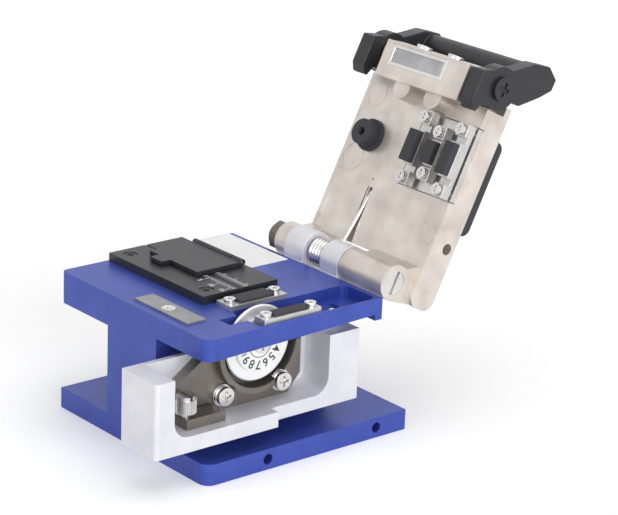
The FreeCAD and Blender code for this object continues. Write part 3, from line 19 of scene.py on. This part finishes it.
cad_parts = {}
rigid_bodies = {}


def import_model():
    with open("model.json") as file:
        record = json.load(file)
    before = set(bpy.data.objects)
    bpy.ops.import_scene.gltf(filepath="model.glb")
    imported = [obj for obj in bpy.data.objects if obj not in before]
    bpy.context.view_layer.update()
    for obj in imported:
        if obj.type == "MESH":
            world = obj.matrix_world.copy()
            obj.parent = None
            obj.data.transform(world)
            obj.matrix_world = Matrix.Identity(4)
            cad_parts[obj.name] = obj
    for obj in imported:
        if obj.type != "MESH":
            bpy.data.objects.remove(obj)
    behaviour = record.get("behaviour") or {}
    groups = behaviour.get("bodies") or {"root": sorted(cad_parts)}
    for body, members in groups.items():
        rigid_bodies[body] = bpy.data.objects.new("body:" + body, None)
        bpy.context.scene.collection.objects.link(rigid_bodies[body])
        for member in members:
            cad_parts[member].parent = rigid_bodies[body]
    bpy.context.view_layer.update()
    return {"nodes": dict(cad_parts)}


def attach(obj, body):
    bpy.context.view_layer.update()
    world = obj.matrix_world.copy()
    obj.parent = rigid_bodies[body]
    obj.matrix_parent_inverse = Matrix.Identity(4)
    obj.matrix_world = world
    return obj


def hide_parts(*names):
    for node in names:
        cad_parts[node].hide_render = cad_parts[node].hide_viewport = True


LOG = logging.getLogger("cleaver")
MM = 0.001
WHITE_LIGHT = (1.0, 1.0, 1.0, 1.0)
Colour = tuple[float, float, float]
Point = tuple[float, float, float]


class Grain(Enum):
    """How the surface of a finish is worked: its noise cells a metre along X, Y and Z."""

    BLASTED = (9000.0, 9000.0, 9000.0)
    BRUSHED = (350.0, 6000.0, 6000.0)
    CAST = (2600.0, 2600.0, 2600.0)
    MOULDED = (5200.0, 5200.0, 5200.0)


@dataclass(frozen=True)
class Finish:
    """Surface finish: two close colours mixed by noise, a gloss that wanders a little, and a fine grain."""

    name: str
    dark: Colour
    light: Colour
    metallic: float
    gloss: tuple[float, float]  # roughness where it shines most and least
    grain: Grain
    relief: float  # strength of the grain, from 0 to 1
    grain_detail: float = 3.0
    grain_depth: float = 0.04
    cloud_cells: float = 140.0  # a metre
    cloud_detail: float = 4.0
    cloud_edges: tuple[float, float] = (0.3, 0.7)  # where the noise turns fully dark and fully light

    def material(self) -> bpy.types.Material:
        """Build the finish's material, or give it again if it is there.

        Returns:
            The material with its nodes.
        """
        found = bpy.data.materials.get(self.name)
        if found is not None:
            return found
        material = bpy.data.materials.new(self.name)
        material.use_nodes = True
        tree = material.node_tree
        shader = tree.nodes["Principled BSDF"]
        shader.inputs["Metallic"].default_value = self.metallic
        place = tree.nodes.new("ShaderNodeTexCoord").outputs["Object"]
        stretch = tree.nodes.new("ShaderNodeMapping")
        stretch.inputs["Scale"].default_value = self.grain.value
        tree.links.new(place, stretch.inputs["Vector"])
        fine = self.noise(tree, stretch.outputs["Vector"], 1.0, self.grain_detail)
        broad = self.noise(tree, place, self.cloud_cells, self.cloud_detail)
        self.tint(tree, broad, shader)
        self.roughen(tree, fine, shader)
        return material

    def noise(self, tree: bpy.types.NodeTree, place: bpy.types.NodeSocket, scale: float,
              detail: float) -> bpy.types.NodeSocket:
        """Add a noise to the material's nodes.

        Args:
            tree: The material's nodes.
            place: Where the noise reads its position.
            scale: Its cells for each unit of that position.
            detail: How many finer layers it has.

        Returns:
            The noise's value, from 0 to 1.
        """
        noise = tree.nodes.new("ShaderNodeTexNoise")
        noise.inputs["Scale"].default_value = scale
        noise.inputs["Detail"].default_value = detail
        tree.links.new(place, noise.inputs["Vector"])
        return noise.outputs["Fac"]

    def tint(self, tree: bpy.types.NodeTree, broad: bpy.types.NodeSocket, shader: bpy.types.Node) -> None:
        """Mix the two colours by the broad noise.

        Args:
            tree: The material's nodes.
            broad: The broad noise.
            shader: The shader that takes the colour.
        """
        ramp = tree.nodes.new("ShaderNodeValToRGB")
        dark, light = ramp.color_ramp.elements
        dark.position, light.position = self.cloud_edges
        dark.color, light.color = (*self.dark, 1.0), (*self.light, 1.0)
        tree.links.new(broad, ramp.inputs["Fac"])
        tree.links.new(ramp.outputs["Color"], shader.inputs["Base Color"])

    def roughen(self, tree: bpy.types.NodeTree, fine: bpy.types.NodeSocket, shader: bpy.types.Node) -> None:
        """Let the fine noise move the gloss and raise the grain.

        Args:
            tree: The material's nodes.
            fine: The fine noise.
            shader: The shader that takes them.
        """
        spread = tree.nodes.new("ShaderNodeMapRange")
        spread.inputs["To Min"].default_value, spread.inputs["To Max"].default_value = self.gloss
        tree.links.new(fine, spread.inputs["Value"])
        tree.links.new(spread.outputs["Result"], shader.inputs["Roughness"])
        bump = tree.nodes.new("ShaderNodeBump")
        bump.inputs["Strength"].default_value = self.relief
        bump.inputs["Distance"].default_value = self.grain_depth * MM
        tree.links.new(fine, bump.inputs["Height"])
        tree.links.new(bump.outputs["Normal"], shader.inputs["Normal"])


BLUE = Finish("blue_anodising", (0.036, 0.066, 0.350), (0.048, 0.084, 0.420), 0.35, (0.32, 0.44),
              Grain.BLASTED, 0.25)
SILVER = Finish("silver_anodising", (0.66, 0.66, 0.70), (0.75, 0.75, 0.79), 0.45, (0.38, 0.50),
                Grain.BLASTED, 0.25)
LID = Finish("nickel_casting", (0.55, 0.50, 0.455), (0.74, 0.69, 0.64), 0.70, (0.26, 0.46),
             Grain.CAST, 1.0)
STRIP = Finish("ground_strip", (0.27, 0.27, 0.28), (0.35, 0.35, 0.36), 0.7, (0.34, 0.46),
               Grain.BRUSHED, 0.3)
MAGNET = Finish("nickel_magnet", (0.30, 0.30, 0.31), (0.48, 0.48, 0.49), 1.0, (0.10, 0.20),
                Grain.BRUSHED, 0.2)
STEEL = Finish("bright_steel", (0.62, 0.61, 0.60), (0.74, 0.73, 0.72), 1.0, (0.14, 0.26),
               Grain.BRUSHED, 0.15)
SATIN = Finish("satin_steel", (0.52, 0.51, 0.50), (0.64, 0.63, 0.61), 0.9, (0.28, 0.42),
               Grain.BRUSHED, 0.3)
BRONZE = Finish("dark_nickel", (0.15, 0.135, 0.12), (0.21, 0.19, 0.17), 0.75, (0.30, 0.44),
                Grain.CAST, 0.8)
PLASTIC = Finish("black_moulding", (0.010, 0.010, 0.013), (0.018, 0.018, 0.022), 0.0, (0.34, 0.46),
                 Grain.MOULDED, 0.4)
RUBBER = Finish("black_rubber", (0.014, 0.014, 0.018), (0.024, 0.024, 0.030), 0.0, (0.55, 0.70),
                Grain.MOULDED, 0.6)
WHITE = Finish("white_enamel", (0.78, 0.78, 0.77), (0.86, 0.86, 0.85), 0.0, (0.35, 0.45),
               Grain.MOULDED, 0.2)
LABEL = Finish("bare_label", (0.90, 0.90, 0.90), (0.94, 0.94, 0.94), 0.0, (0.45, 0.55),
               Grain.MOULDED, 0.1)
BLADE = Finish("ground_blade", (0.80, 0.80, 0.81), (0.90, 0.90, 0.91), 0.45, (0.30, 0.42),
               Grain.BRUSHED, 0.2)
INK = Finish("black_ink", (0.012, 0.012, 0.014), (0.03, 0.03, 0.034), 0.0, (0.5, 0.6),
             Grain.MOULDED, 0.1)
FLOOR = Finish("floor_paint", (0.93, 0.93, 0.93), (0.95, 0.95, 0.95), 0.0, (0.8, 0.9),
               Grain.MOULDED, 0.0)

NODE_FINISH: dict[Finish, tuple[str, ...]] = {
    BLUE: ("base_plate", "body_frame"),
    SILVER: ("slider_block", "hinge_bracket"),
    LID: ("lid_casting",),
    STEEL: ("strip_screw", "magnet_frame", "hinge_shaft", "torsion_spring", "lower_clamp_screws",
            "upper_clamp_screws", "magnet_screws", "bracket_washers", "bracket_screws", "height_screw",
            "blade_axle", "adapter_cover_pin", "carriage_screws", "rail_screws", "base_screws",
            "hinge_bracket_screws"),
    STRIP: ("magnet_strip",),
    MAGNET: ("magnet",),
    BLADE: ("cutting_disc",),
    SATIN: ("lower_clamp_frame_left", "lower_clamp_frame_right", "upper_clamp_plate",
            "upper_clamp_block_left", "anvil_block", "upper_clamp_block_right", "slide_rail",
            "slide_carriage"),
    BRONZE: ("blade_bracket", "height_screw_foot", "hinge_nut"),
    PLASTIC: ("release_lever", "lever_pivot_screws", "adapter_base", "adapter_cover", "adapter_screws"),
    RUBBER: ("lid_bumper", "grip_pad", "lower_pad_left", "lower_pad_right", "upper_pad_left", "anvil_pad",
             "upper_pad_right"),
    WHITE: ("blade_dial",),
}

EDGE_WIDTH: dict[str, float] = {
    "base_plate": 0.35, "body_frame": 0.35, "slider_block": 0.35, "lid_casting": 0.45,
    "hinge_bracket": 0.3, "release_lever": 0.6, "adapter_base": 0.2, "adapter_cover": 0.25,
    "blade_bracket": 0.3, "magnet_strip": 0.12, "magnet_frame": 0.15, "hinge_nut": 0.3,
    "upper_clamp_plate": 0.2, "height_screw_foot": 0.3, "lower_clamp_frame_left": 0.2,
    "lower_clamp_frame_right": 0.2, "lower_pad_left": 0.2, "lower_pad_right": 0.2,
}


@dataclass
class EdgeSoftener:
    """Rounds the sharp edges of a solid a little, and leaves its own points alone."""

    usual_width: float = 0.1
    steps: int = 2
    sharp_from: float = 32.0
    flat_within: float = 0.6
    joined_within: float = 0.002
    even_weight: int = 80

    def soften(self, obj: bpy.types.Object) -> None:
        """Add the modifiers that merge flat faces and round sharp edges.

        Args:
            obj: A solid of the frame.
        """
        weld = obj.modifiers.new("join_points", "WELD")
        weld.merge_threshold = self.joined_within * MM
        flats = obj.modifiers.new("merge_flats", "DECIMATE")
        flats.decimate_type = "DISSOLVE"
        flats.angle_limit = math.radians(self.flat_within)
        bevel = obj.modifiers.new("round_edges", "BEVEL")
        bevel.width = EDGE_WIDTH.get(obj.name, self.usual_width) * MM
        bevel.segments = self.steps
        bevel.limit_method = "ANGLE"
        bevel.angle_limit = math.radians(self.sharp_from)
        shade = obj.modifiers.new("even_shading", "WEIGHTED_NORMAL")
        shade.mode = "FACE_AREA"
        shade.weight = self.even_weight


def dress(obj: bpy.types.Object, finish: Finish) -> None:
    """Give every slot of an object one finish.

    Args:
        obj: The object to dress.
        finish: Its surface.
    """
    material = finish.material()
    if not obj.data.materials:
        obj.data.materials.append(material)
    for index in range(len(obj.data.materials)):
        obj.data.materials[index] = material


@dataclass
class LidAxes:
    """The open lid's own axes: u along the hinge, v to the free end, w out of the inner face."""

    tilt: float = 63.4
    back: float = 28.5
    height: float = 40.4

    def matrix(self) -> Matrix:
        """Work out where the axes stand.

        Returns:
            The matrix from the lid's axes, in millimetres, to the frame, in metres.
        """
        s, c = math.sin(math.radians(self.tilt)), math.cos(math.radians(self.tilt))
        turn = Matrix(((1, 0, 0, 0), (0, c, -s, self.back), (0, s, c, self.height), (0, 0, 0, 1)))
        return Matrix.Scale(MM, 4) @ turn


@dataclass
class MeshMaker:
    """Gathers simple solids in millimetres into one mesh."""

    name: str
    space: Matrix = field(default_factory=lambda: Matrix.Scale(MM, 4))
    work: bmesh.types.BMesh = field(default_factory=bmesh.new)
    type_weight: float = 0.012  # how much a numeral's strokes swell, as a share of its height
    type_steps: int = 3

    def prism(self, corners: list[Vector], lift: Vector) -> None:
        """Add a prism.

        Args:
            corners: The outline's points in order.
            lift: The step from the outline to its copy.
        """
        low = [self.work.verts.new(p) for p in corners]
        high = [self.work.verts.new(p + lift) for p in corners]
        count = len(corners)
        self.work.faces.new(low[::-1])
        self.work.faces.new(high)
        for i in range(count):
            j = (i + 1) % count
            self.work.faces.new((low[i], low[j], high[j], high[i]))

    def box(self, low: Point, high: Point) -> None:
        """Add a box between two corners.

        Args:
            low: Its left, front and bottom.
            high: Its right, back and top.
        """
        (left, front, bottom), (right, back, top) = low, high
        outline = [Vector((x, y, bottom)) for x, y in
                   ((left, front), (right, front), (right, back), (left, back))]
        self.prism(outline, Vector((0, 0, top - bottom)))

    def ring(self, centre: Vector, axis: Vector, inner: float, outer: float, depth: float,
             sides: int = 48) -> None:
        """Add a flat ring.

        Args:
            centre: Middle of its near face.
            axis: Unit vector that it rises along.
            inner: Inner radius.
            outer: Outer radius.
            depth: How far it rises.
            sides: How many sides it has.
        """
        side = axis.orthogonal().normalized()
        other = axis.cross(side)
        loops = []
        for radius, level in ((inner, 0.0), (outer, 0.0), (outer, depth), (inner, depth)):
            loops.append([self.work.verts.new(centre + axis * level + radius * (
                side * math.cos(t * math.tau / sides) + other * math.sin(t * math.tau / sides)))
                for t in range(sides)])
        for near, far in zip(loops, loops[1:] + loops[:1]):
            for i in range(sides):
                j = (i + 1) % sides
                self.work.faces.new((near[i], near[j], far[j], far[i]))

    def numeral(self, text: str, height: float, depth: float, place: Matrix) -> None:
        """Add a raised numeral.

        Args:
            text: The digits.
            height: Height of the type.
            depth: How far it stands proud.
            place: From the type's own plane to the maker's axes.
        """
        curve = bpy.data.curves.new("type", "FONT")
        curve.body = text
        curve.size = height
        curve.extrude = depth
        curve.resolution_u = self.type_steps
        curve.offset = height * self.type_weight
        curve.align_x = "CENTER"
        curve.align_y = "CENTER"
        shape = bpy.data.objects.new("type", curve)
        bpy.context.scene.collection.objects.link(shape)
        bpy.context.view_layer.update()
        mesh = bpy.data.meshes.new_from_object(shape)
        mesh.transform(place)
        self.work.from_mesh(mesh)
        bpy.data.objects.remove(shape)
        bpy.data.curves.remove(curve)
        bpy.data.meshes.remove(mesh)

    def finish(self, finish: Finish, body: str, slot: str) -> bpy.types.Object:
        """Turn what was gathered into a piece.

        Args:
            finish: Its surface.
            body: The body that it rides on.
            slot: Not used.

        Returns:
            The piece.
        """
        bmesh.ops.recalc_face_normals(self.work, faces=self.work.faces[:])
        mesh = bpy.data.meshes.new(self.name)
        self.work.to_mesh(mesh)
        self.work.free()
        mesh.transform(self.space)
        obj = bpy.data.objects.new(self.name, mesh)
        bpy.context.scene.collection.objects.link(obj)
        dress(obj, finish)
        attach(obj, body)
        LOG.info("piece %s on %s", self.name, body)
        return obj


@dataclass
class SolidParts:
    """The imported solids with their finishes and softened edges."""

    softener: EdgeSoftener = field(default_factory=EdgeSoftener)

    def build(self, nodes: dict[str, bpy.types.Object]) -> None:
        """Dress every solid.

        Args:
            nodes: The frame's solids by name.
        """
        for finish, names in NODE_FINISH.items():
            for name in names:
                dress(nodes[name], finish)
                self.softener.soften(nodes[name])
                LOG.info("solid %s in %s", name, finish.name)


@dataclass
class TopPlateTrim:
    """Bare label plate on the top, and the ruler on the fibre adapter."""

    top: float = 38.0
    label_left: float = -31.0
    label_right: float = -5.9
    label_front: float = 9.5
    label_back: float = 21.9
    label_thickness: float = 0.15
    ruler_left: float = -2.4
    ruler_right: float = 9.3
    ruler_height: float = 40.3
    ruler_marks: int = 14
    groove: float = -6.1
    groove_clear: float = 1.3
    mark_half_width: float = 0.08
    short_mark: float = 1.3
    long_mark: float = 2.2
    long_every: int = 5
    first_long: int = 2
    number_step: int = 5
    number_size: float = 2.0
    number_from_groove: float = 5.0
    ink_depth: float = 0.03

    def label(self) -> None:
        """Build the bare plate."""
        maker = MeshMaker("label_plate")
        maker.box((self.label_left, self.label_front, self.top),
                  (self.label_right, self.label_back, self.top + self.label_thickness))
        maker.finish(LABEL, "frame", "white_dial")

    def ruler(self) -> None:
        """Build the ruler's marks on both sides of the groove, and its plain numbers in front."""
        maker = MeshMaker("ruler_marks")
        step = (self.ruler_right - self.ruler_left) / (self.ruler_marks - 1)
        low, high = self.ruler_height - self.ink_depth, self.ruler_height + self.ink_depth
        for index in range(self.ruler_marks):
            x = self.ruler_left + index * step
            reach = self.long_mark if index % self.long_every == self.first_long else self.short_mark
            for side in (-1, 1):
                near = self.groove + side * self.groove_clear
                far = self.groove + side * (self.groove_clear + reach)
                maker.box((x - self.mark_half_width, min(near, far), low),
                          (x + self.mark_half_width, max(near, far), high))
        for count, index in enumerate(range(self.first_long, self.ruler_marks, self.long_every), start=1):
            x = self.ruler_left + index * step
            place = Matrix.Translation((x, self.groove - self.number_from_groove, self.ruler_height))
            maker.numeral(str(count * self.number_step), self.number_size, self.ink_depth, place)
        maker.finish(WHITE, "frame", "white_dial")

    def build(self) -> None:
        """Build both."""
        self.label()
        self.ruler()


@dataclass
class DialFace:
    """Numbers round the blade's dial, and the ring line inside them."""

    along: float = -10.1
    height: float = 30.25
    face: float = 23.4
    numbers: int = 15
    first_turn: float = -41.5
    number_radius: float = 5.35
    number_size: float = 3.3
    two_digit_share: float = 0.72
    line_inner: float = 3.3
    line_outer: float = 3.5
    ink_depth: float = 0.03

    def build(self) -> None:
        """Build the numbers and the hub's ring line."""
        maker = MeshMaker("dial_numbers")
        # The type lies flat as it is made: this stands it up, so that it is read from the right.
        upright = Matrix(((0, 0, 1, 0), (1, 0, 0, 0), (0, 1, 0, 0), (0, 0, 0, 1)))
        centre = Matrix.Translation((self.face, self.along, self.height))
        for index in range(self.numbers):
            angle = math.radians(self.first_turn) - math.tau * index / self.numbers
            turn = Matrix.Rotation(angle, 4, "Z") @ Matrix.Translation((0, self.number_radius, 0))
            text = str(index + 1)
            size = self.number_size * (self.two_digit_share if len(text) > 1 else 1.0)
            maker.numeral(text, size, self.ink_depth, centre @ upright @ turn)
        maker.ring(Vector((self.face - self.ink_depth, self.along, self.height)), Vector((1, 0, 0)),
                   self.line_inner, self.line_outer, 2 * self.ink_depth)
        maker.finish(INK, "blade", "white_dial")


@dataclass
class LidTrim:
    """Ejector marks and the bare square on the lid's inner face."""

    face: float = -6.0
    marks: tuple[Point, ...] = ((-9.6, 45.0, 3.6), (-9.1, 27.0, 3.8), (27.0, 15.0, 3.2))  # u, v, radius
    square: tuple[float, float, float, float] = (-12.4, 1.6, 8.8, 23.3)  # left, right, near, far
    line: float = 0.35
    rise: float = 0.12
    sunk: float = 0.05

    def build(self) -> None:
        """Build the cast marks."""
        maker = MeshMaker("lid_cast_marks", LidAxes().matrix())
        low, high = self.face - self.sunk, self.face + self.rise
        for u, v, radius in self.marks:
            maker.ring(Vector((u, v, low)), Vector((0, 0, 1)), radius - self.line, radius, high - low)
        left, right, near, far = self.square
        maker.box((left, near, low), (right, near + self.line, high))
        maker.box((left, far - self.line, low), (right, far, high))
        maker.box((left, near, low), (left + self.line, far, high))
        maker.box((right - self.line, near, low), (right, far, high))
        maker.finish(LID, "lid", "lid_metal")


@dataclass
class HeightKnob:
    """Knurled and slotted knob that stands for the plain one."""

    across: float = 24.9
    along: float = -34.2
    low: float = 18.3
    high: float = 22.8
    radius: float = 2.7
    ribs: int = 30
    rib_points: int = 4
    rib_depth: float = 0.28
    crown_inset: float = 0.3
    slot_half: float = 0.4
    slot_depth: float = 1.0
    stem_radius: float = 1.1
    stem_low: float = 15.2
    sides: int = 24

    def spot(self, radius: float, angle: float, height: float) -> Vector:
        """Give a point round the knob's axis, from its radius, its angle in radians and its height."""
        return Vector((self.across + radius * math.cos(angle), self.along + radius * math.sin(angle),
                       height))

    def grip(self, maker: MeshMaker) -> None:
        """Add the ribbed grip, up to the slot's floor.

        Args:
            maker: What gathers the knob.
        """
        outline = []
        count = self.ribs * self.rib_points
        for index in range(count):
            proud = index % self.rib_points < self.rib_points // 2
            reach = self.radius if proud else self.radius - self.rib_depth
            outline.append(self.spot(reach, math.tau * index / count, self.low))
        maker.prism(outline, Vector((0, 0, self.high - self.slot_depth - self.low)))

    def crown(self, maker: MeshMaker) -> None:
        """Add the two half rounds on either side of the slot.

        Args:
            maker: What gathers the knob.
        """
        reach = self.radius - self.crown_inset
        edge = math.asin(self.slot_half / reach)
        for side in (-1, 1):
            outline = [self.spot(reach, side * (edge + (math.pi - 2 * edge) * index / self.sides),
                                 self.high - self.slot_depth) for index in range(self.sides + 1)]
            maker.prism(outline, Vector((0, 0, self.slot_depth)))

    def stem(self, maker: MeshMaker) -> None:
        """Add the round stem under the grip.

        Args:
            maker: What gathers the knob.
        """
        outline = [self.spot(self.stem_radius, math.tau * index / self.sides, self.stem_low)
                   for index in range(self.sides)]
        maker.prism(outline, Vector((0, 0, self.low - self.stem_low)))

    def build(self) -> None:
        """Build the knob on its own body."""
        maker = MeshMaker("knurled_knob")
        self.grip(maker)
        self.crown(maker)
        self.stem(maker)
        piece = maker.finish(STEEL, "height_knob", "steel")
        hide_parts("height_screw")


@dataclass(frozen=True)
class Lamp:
    """Soft distant lamp that faces the cleaver; its places are metres."""

    name: str
    place: Point
    spread: float
    power: float
    target: Point = (0.0, 0.0, 0.04)

    def build(self) -> None:
        """Build the lamp."""
        data = bpy.data.lights.new(self.name, "SUN")
        data.angle = math.radians(self.spread)
        data.energy = self.power
        lamp = bpy.data.objects.new(self.name, data)
        lamp.location = self.place
        aim = Vector(self.target) - Vector(self.place)
        lamp.rotation_mode = "QUATERNION"
        lamp.rotation_quaternion = aim.to_track_quat("-Z", "Y")
        bpy.context.scene.collection.objects.link(lamp)


@dataclass
class Camera:
    """Long lens in front of the cleaver's right corner, a little above it."""

    azimuth: float = 49.923  # round from -Y towards +X
    elevation: float = 18.827
    roll: float = 2.137
    place: Point = (463.6, -366.8, 246.9)
    lens: float = 142.2
    sensor_width: float = 36.0
    shift: tuple[float, float] = (0.0046, -0.0021)  # shares of the sensor's width
    sight: tuple[float, float] = (0.01, 20.0)  # nearest and farthest that it sees, in metres

    def build(self) -> None:
        """Build the camera."""
        a, e, r = (math.radians(v) for v in (self.azimuth, self.elevation, self.roll))
        back = Vector((math.sin(a) * math.cos(e), -math.cos(a) * math.cos(e), math.sin(e)))
        right = Vector((math.cos(a), math.sin(a), 0))
        up = back.cross(right)
        across = math.cos(r) * right + math.sin(r) * up
        upward = math.cos(r) * up - math.sin(r) * right
        data = bpy.data.cameras.new("camera")
        data.sensor_width = self.sensor_width
        data.lens = self.lens
        data.shift_x, data.shift_y = self.shift
        data.clip_start, data.clip_end = self.sight
        camera = bpy.data.objects.new("camera", data)
        turn = Matrix((across, upward, back)).transposed().to_4x4()
        camera.matrix_world = Matrix.Translation(Vector(self.place) * MM) @ turn
        bpy.context.scene.collection.objects.link(camera)
        bpy.context.scene.camera = camera


@dataclass
class Studio:
    """Floor, white surround and lamps."""

    ambient: float = 0.36
    floor_lift: float = 0.20
    floor_size: float = 6.0  # metres
    floor_drop: float = 0.02
    lamps: tuple[Lamp, ...] = (
        Lamp("top_lamp", (0.15, 0.20, 1.3), 60.0, 1.15),
        Lamp("right_lamp", (1.3, -0.30, 0.30), 40.0, 2.1),
        Lamp("front_lamp", (0.10, -1.3, 0.35), 50.0, 0.55),
    )

    def seen_or_mirrored(self, tree: bpy.types.NodeTree) -> bpy.types.NodeSocket:
        """Add the test for what the camera sees, by itself or in a reflection.

        Args:
            tree: The nodes that need the test.

        Returns:
            1 for such a ray, and 0 for light on the cleaver.
        """
        path = tree.nodes.new("ShaderNodeLightPath")
        either = tree.nodes.new("ShaderNodeMath")
        either.operation = "MAXIMUM"
        tree.links.new(path.outputs["Is Camera Ray"], either.inputs[0])
        tree.links.new(path.outputs["Is Glossy Ray"], either.inputs[1])
        return either.outputs["Value"]

    def surround(self) -> None:
        """Build the world: white to the camera and in reflections, a soft grey as light."""
        world = bpy.data.worlds.new("surround")
        bpy.context.scene.world = world
        world.use_nodes = True
        tree = world.node_tree
        light = tree.nodes["Background"]
        seen = tree.nodes.new("ShaderNodeBackground")
        for shader, strength in ((light, self.ambient), (seen, 1.0)):
            shader.inputs["Color"].default_value = WHITE_LIGHT
            shader.inputs["Strength"].default_value = strength
        mix = tree.nodes.new("ShaderNodeMixShader")
        tree.links.new(self.seen_or_mirrored(tree), mix.inputs[0])
        tree.links.new(light.outputs["Background"], mix.inputs[1])
        tree.links.new(seen.outputs["Background"], mix.inputs[2])
        tree.links.new(mix.outputs["Shader"], tree.nodes["World Output"].inputs["Surface"])

    def floor(self) -> None:
        """Build the pale floor."""
        mesh = bpy.data.meshes.new("floor")
        h = self.floor_size / 2
        mesh.from_pydata([(-h, -h, 0), (h, -h, 0), (h, h, 0), (-h, h, 0)], [], [(0, 1, 2, 3)])
        floor = bpy.data.objects.new("floor", mesh)
        floor.location.z = -self.floor_drop * MM
        bpy.context.scene.collection.objects.link(floor)
        dress(floor, FLOOR)
        self.lift_floor(floor.data.materials[0].node_tree)

    def lift_floor(self, tree: bpy.types.NodeTree) -> None:
        """Let the camera see the floor as pale as the surround, with the cleaver's shadow kept.

        Args:
            tree: The nodes of the floor's material.
        """
        none = tree.nodes.new("ShaderNodeEmission")
        glow = tree.nodes.new("ShaderNodeEmission")
        for shader, strength in ((none, 0.0), (glow, self.floor_lift)):
            shader.inputs["Color"].default_value = WHITE_LIGHT
            shader.inputs["Strength"].default_value = strength
        choice = tree.nodes.new("ShaderNodeMixShader")
        both = tree.nodes.new("ShaderNodeAddShader")
        tree.links.new(self.seen_or_mirrored(tree), choice.inputs[0])
        tree.links.new(none.outputs["Emission"], choice.inputs[1])
        tree.links.new(glow.outputs["Emission"], choice.inputs[2])
        tree.links.new(tree.nodes["Principled BSDF"].outputs["BSDF"], both.inputs[0])
        tree.links.new(choice.outputs["Shader"], both.inputs[1])
        tree.links.new(both.outputs["Shader"], tree.nodes["Material Output"].inputs["Surface"])

    def build(self) -> None:
        """Build the studio."""
        self.surround()
        self.floor()
        for lamp in self.lamps:
            lamp.build()
        bpy.context.scene.view_settings.view_transform = "Standard"


def clear_scene() -> None:
    """Take away the start-up objects."""
    for obj in list(bpy.data.objects):
        bpy.data.objects.remove(obj)


def main() -> None:
    """Load the solids, dress them, and add the trim, the camera and the studio."""
    logging.basicConfig(level=logging.INFO, format="%(message)s")
    clear_scene()
    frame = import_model()
    SolidParts().build(frame["nodes"])
    for group in (TopPlateTrim(), DialFace(), LidTrim(), HeightKnob(), Camera(), Studio()):
        group.build()
        LOG.info("built %s", type(group).__name__)


if __name__ == "__main__":
    main()
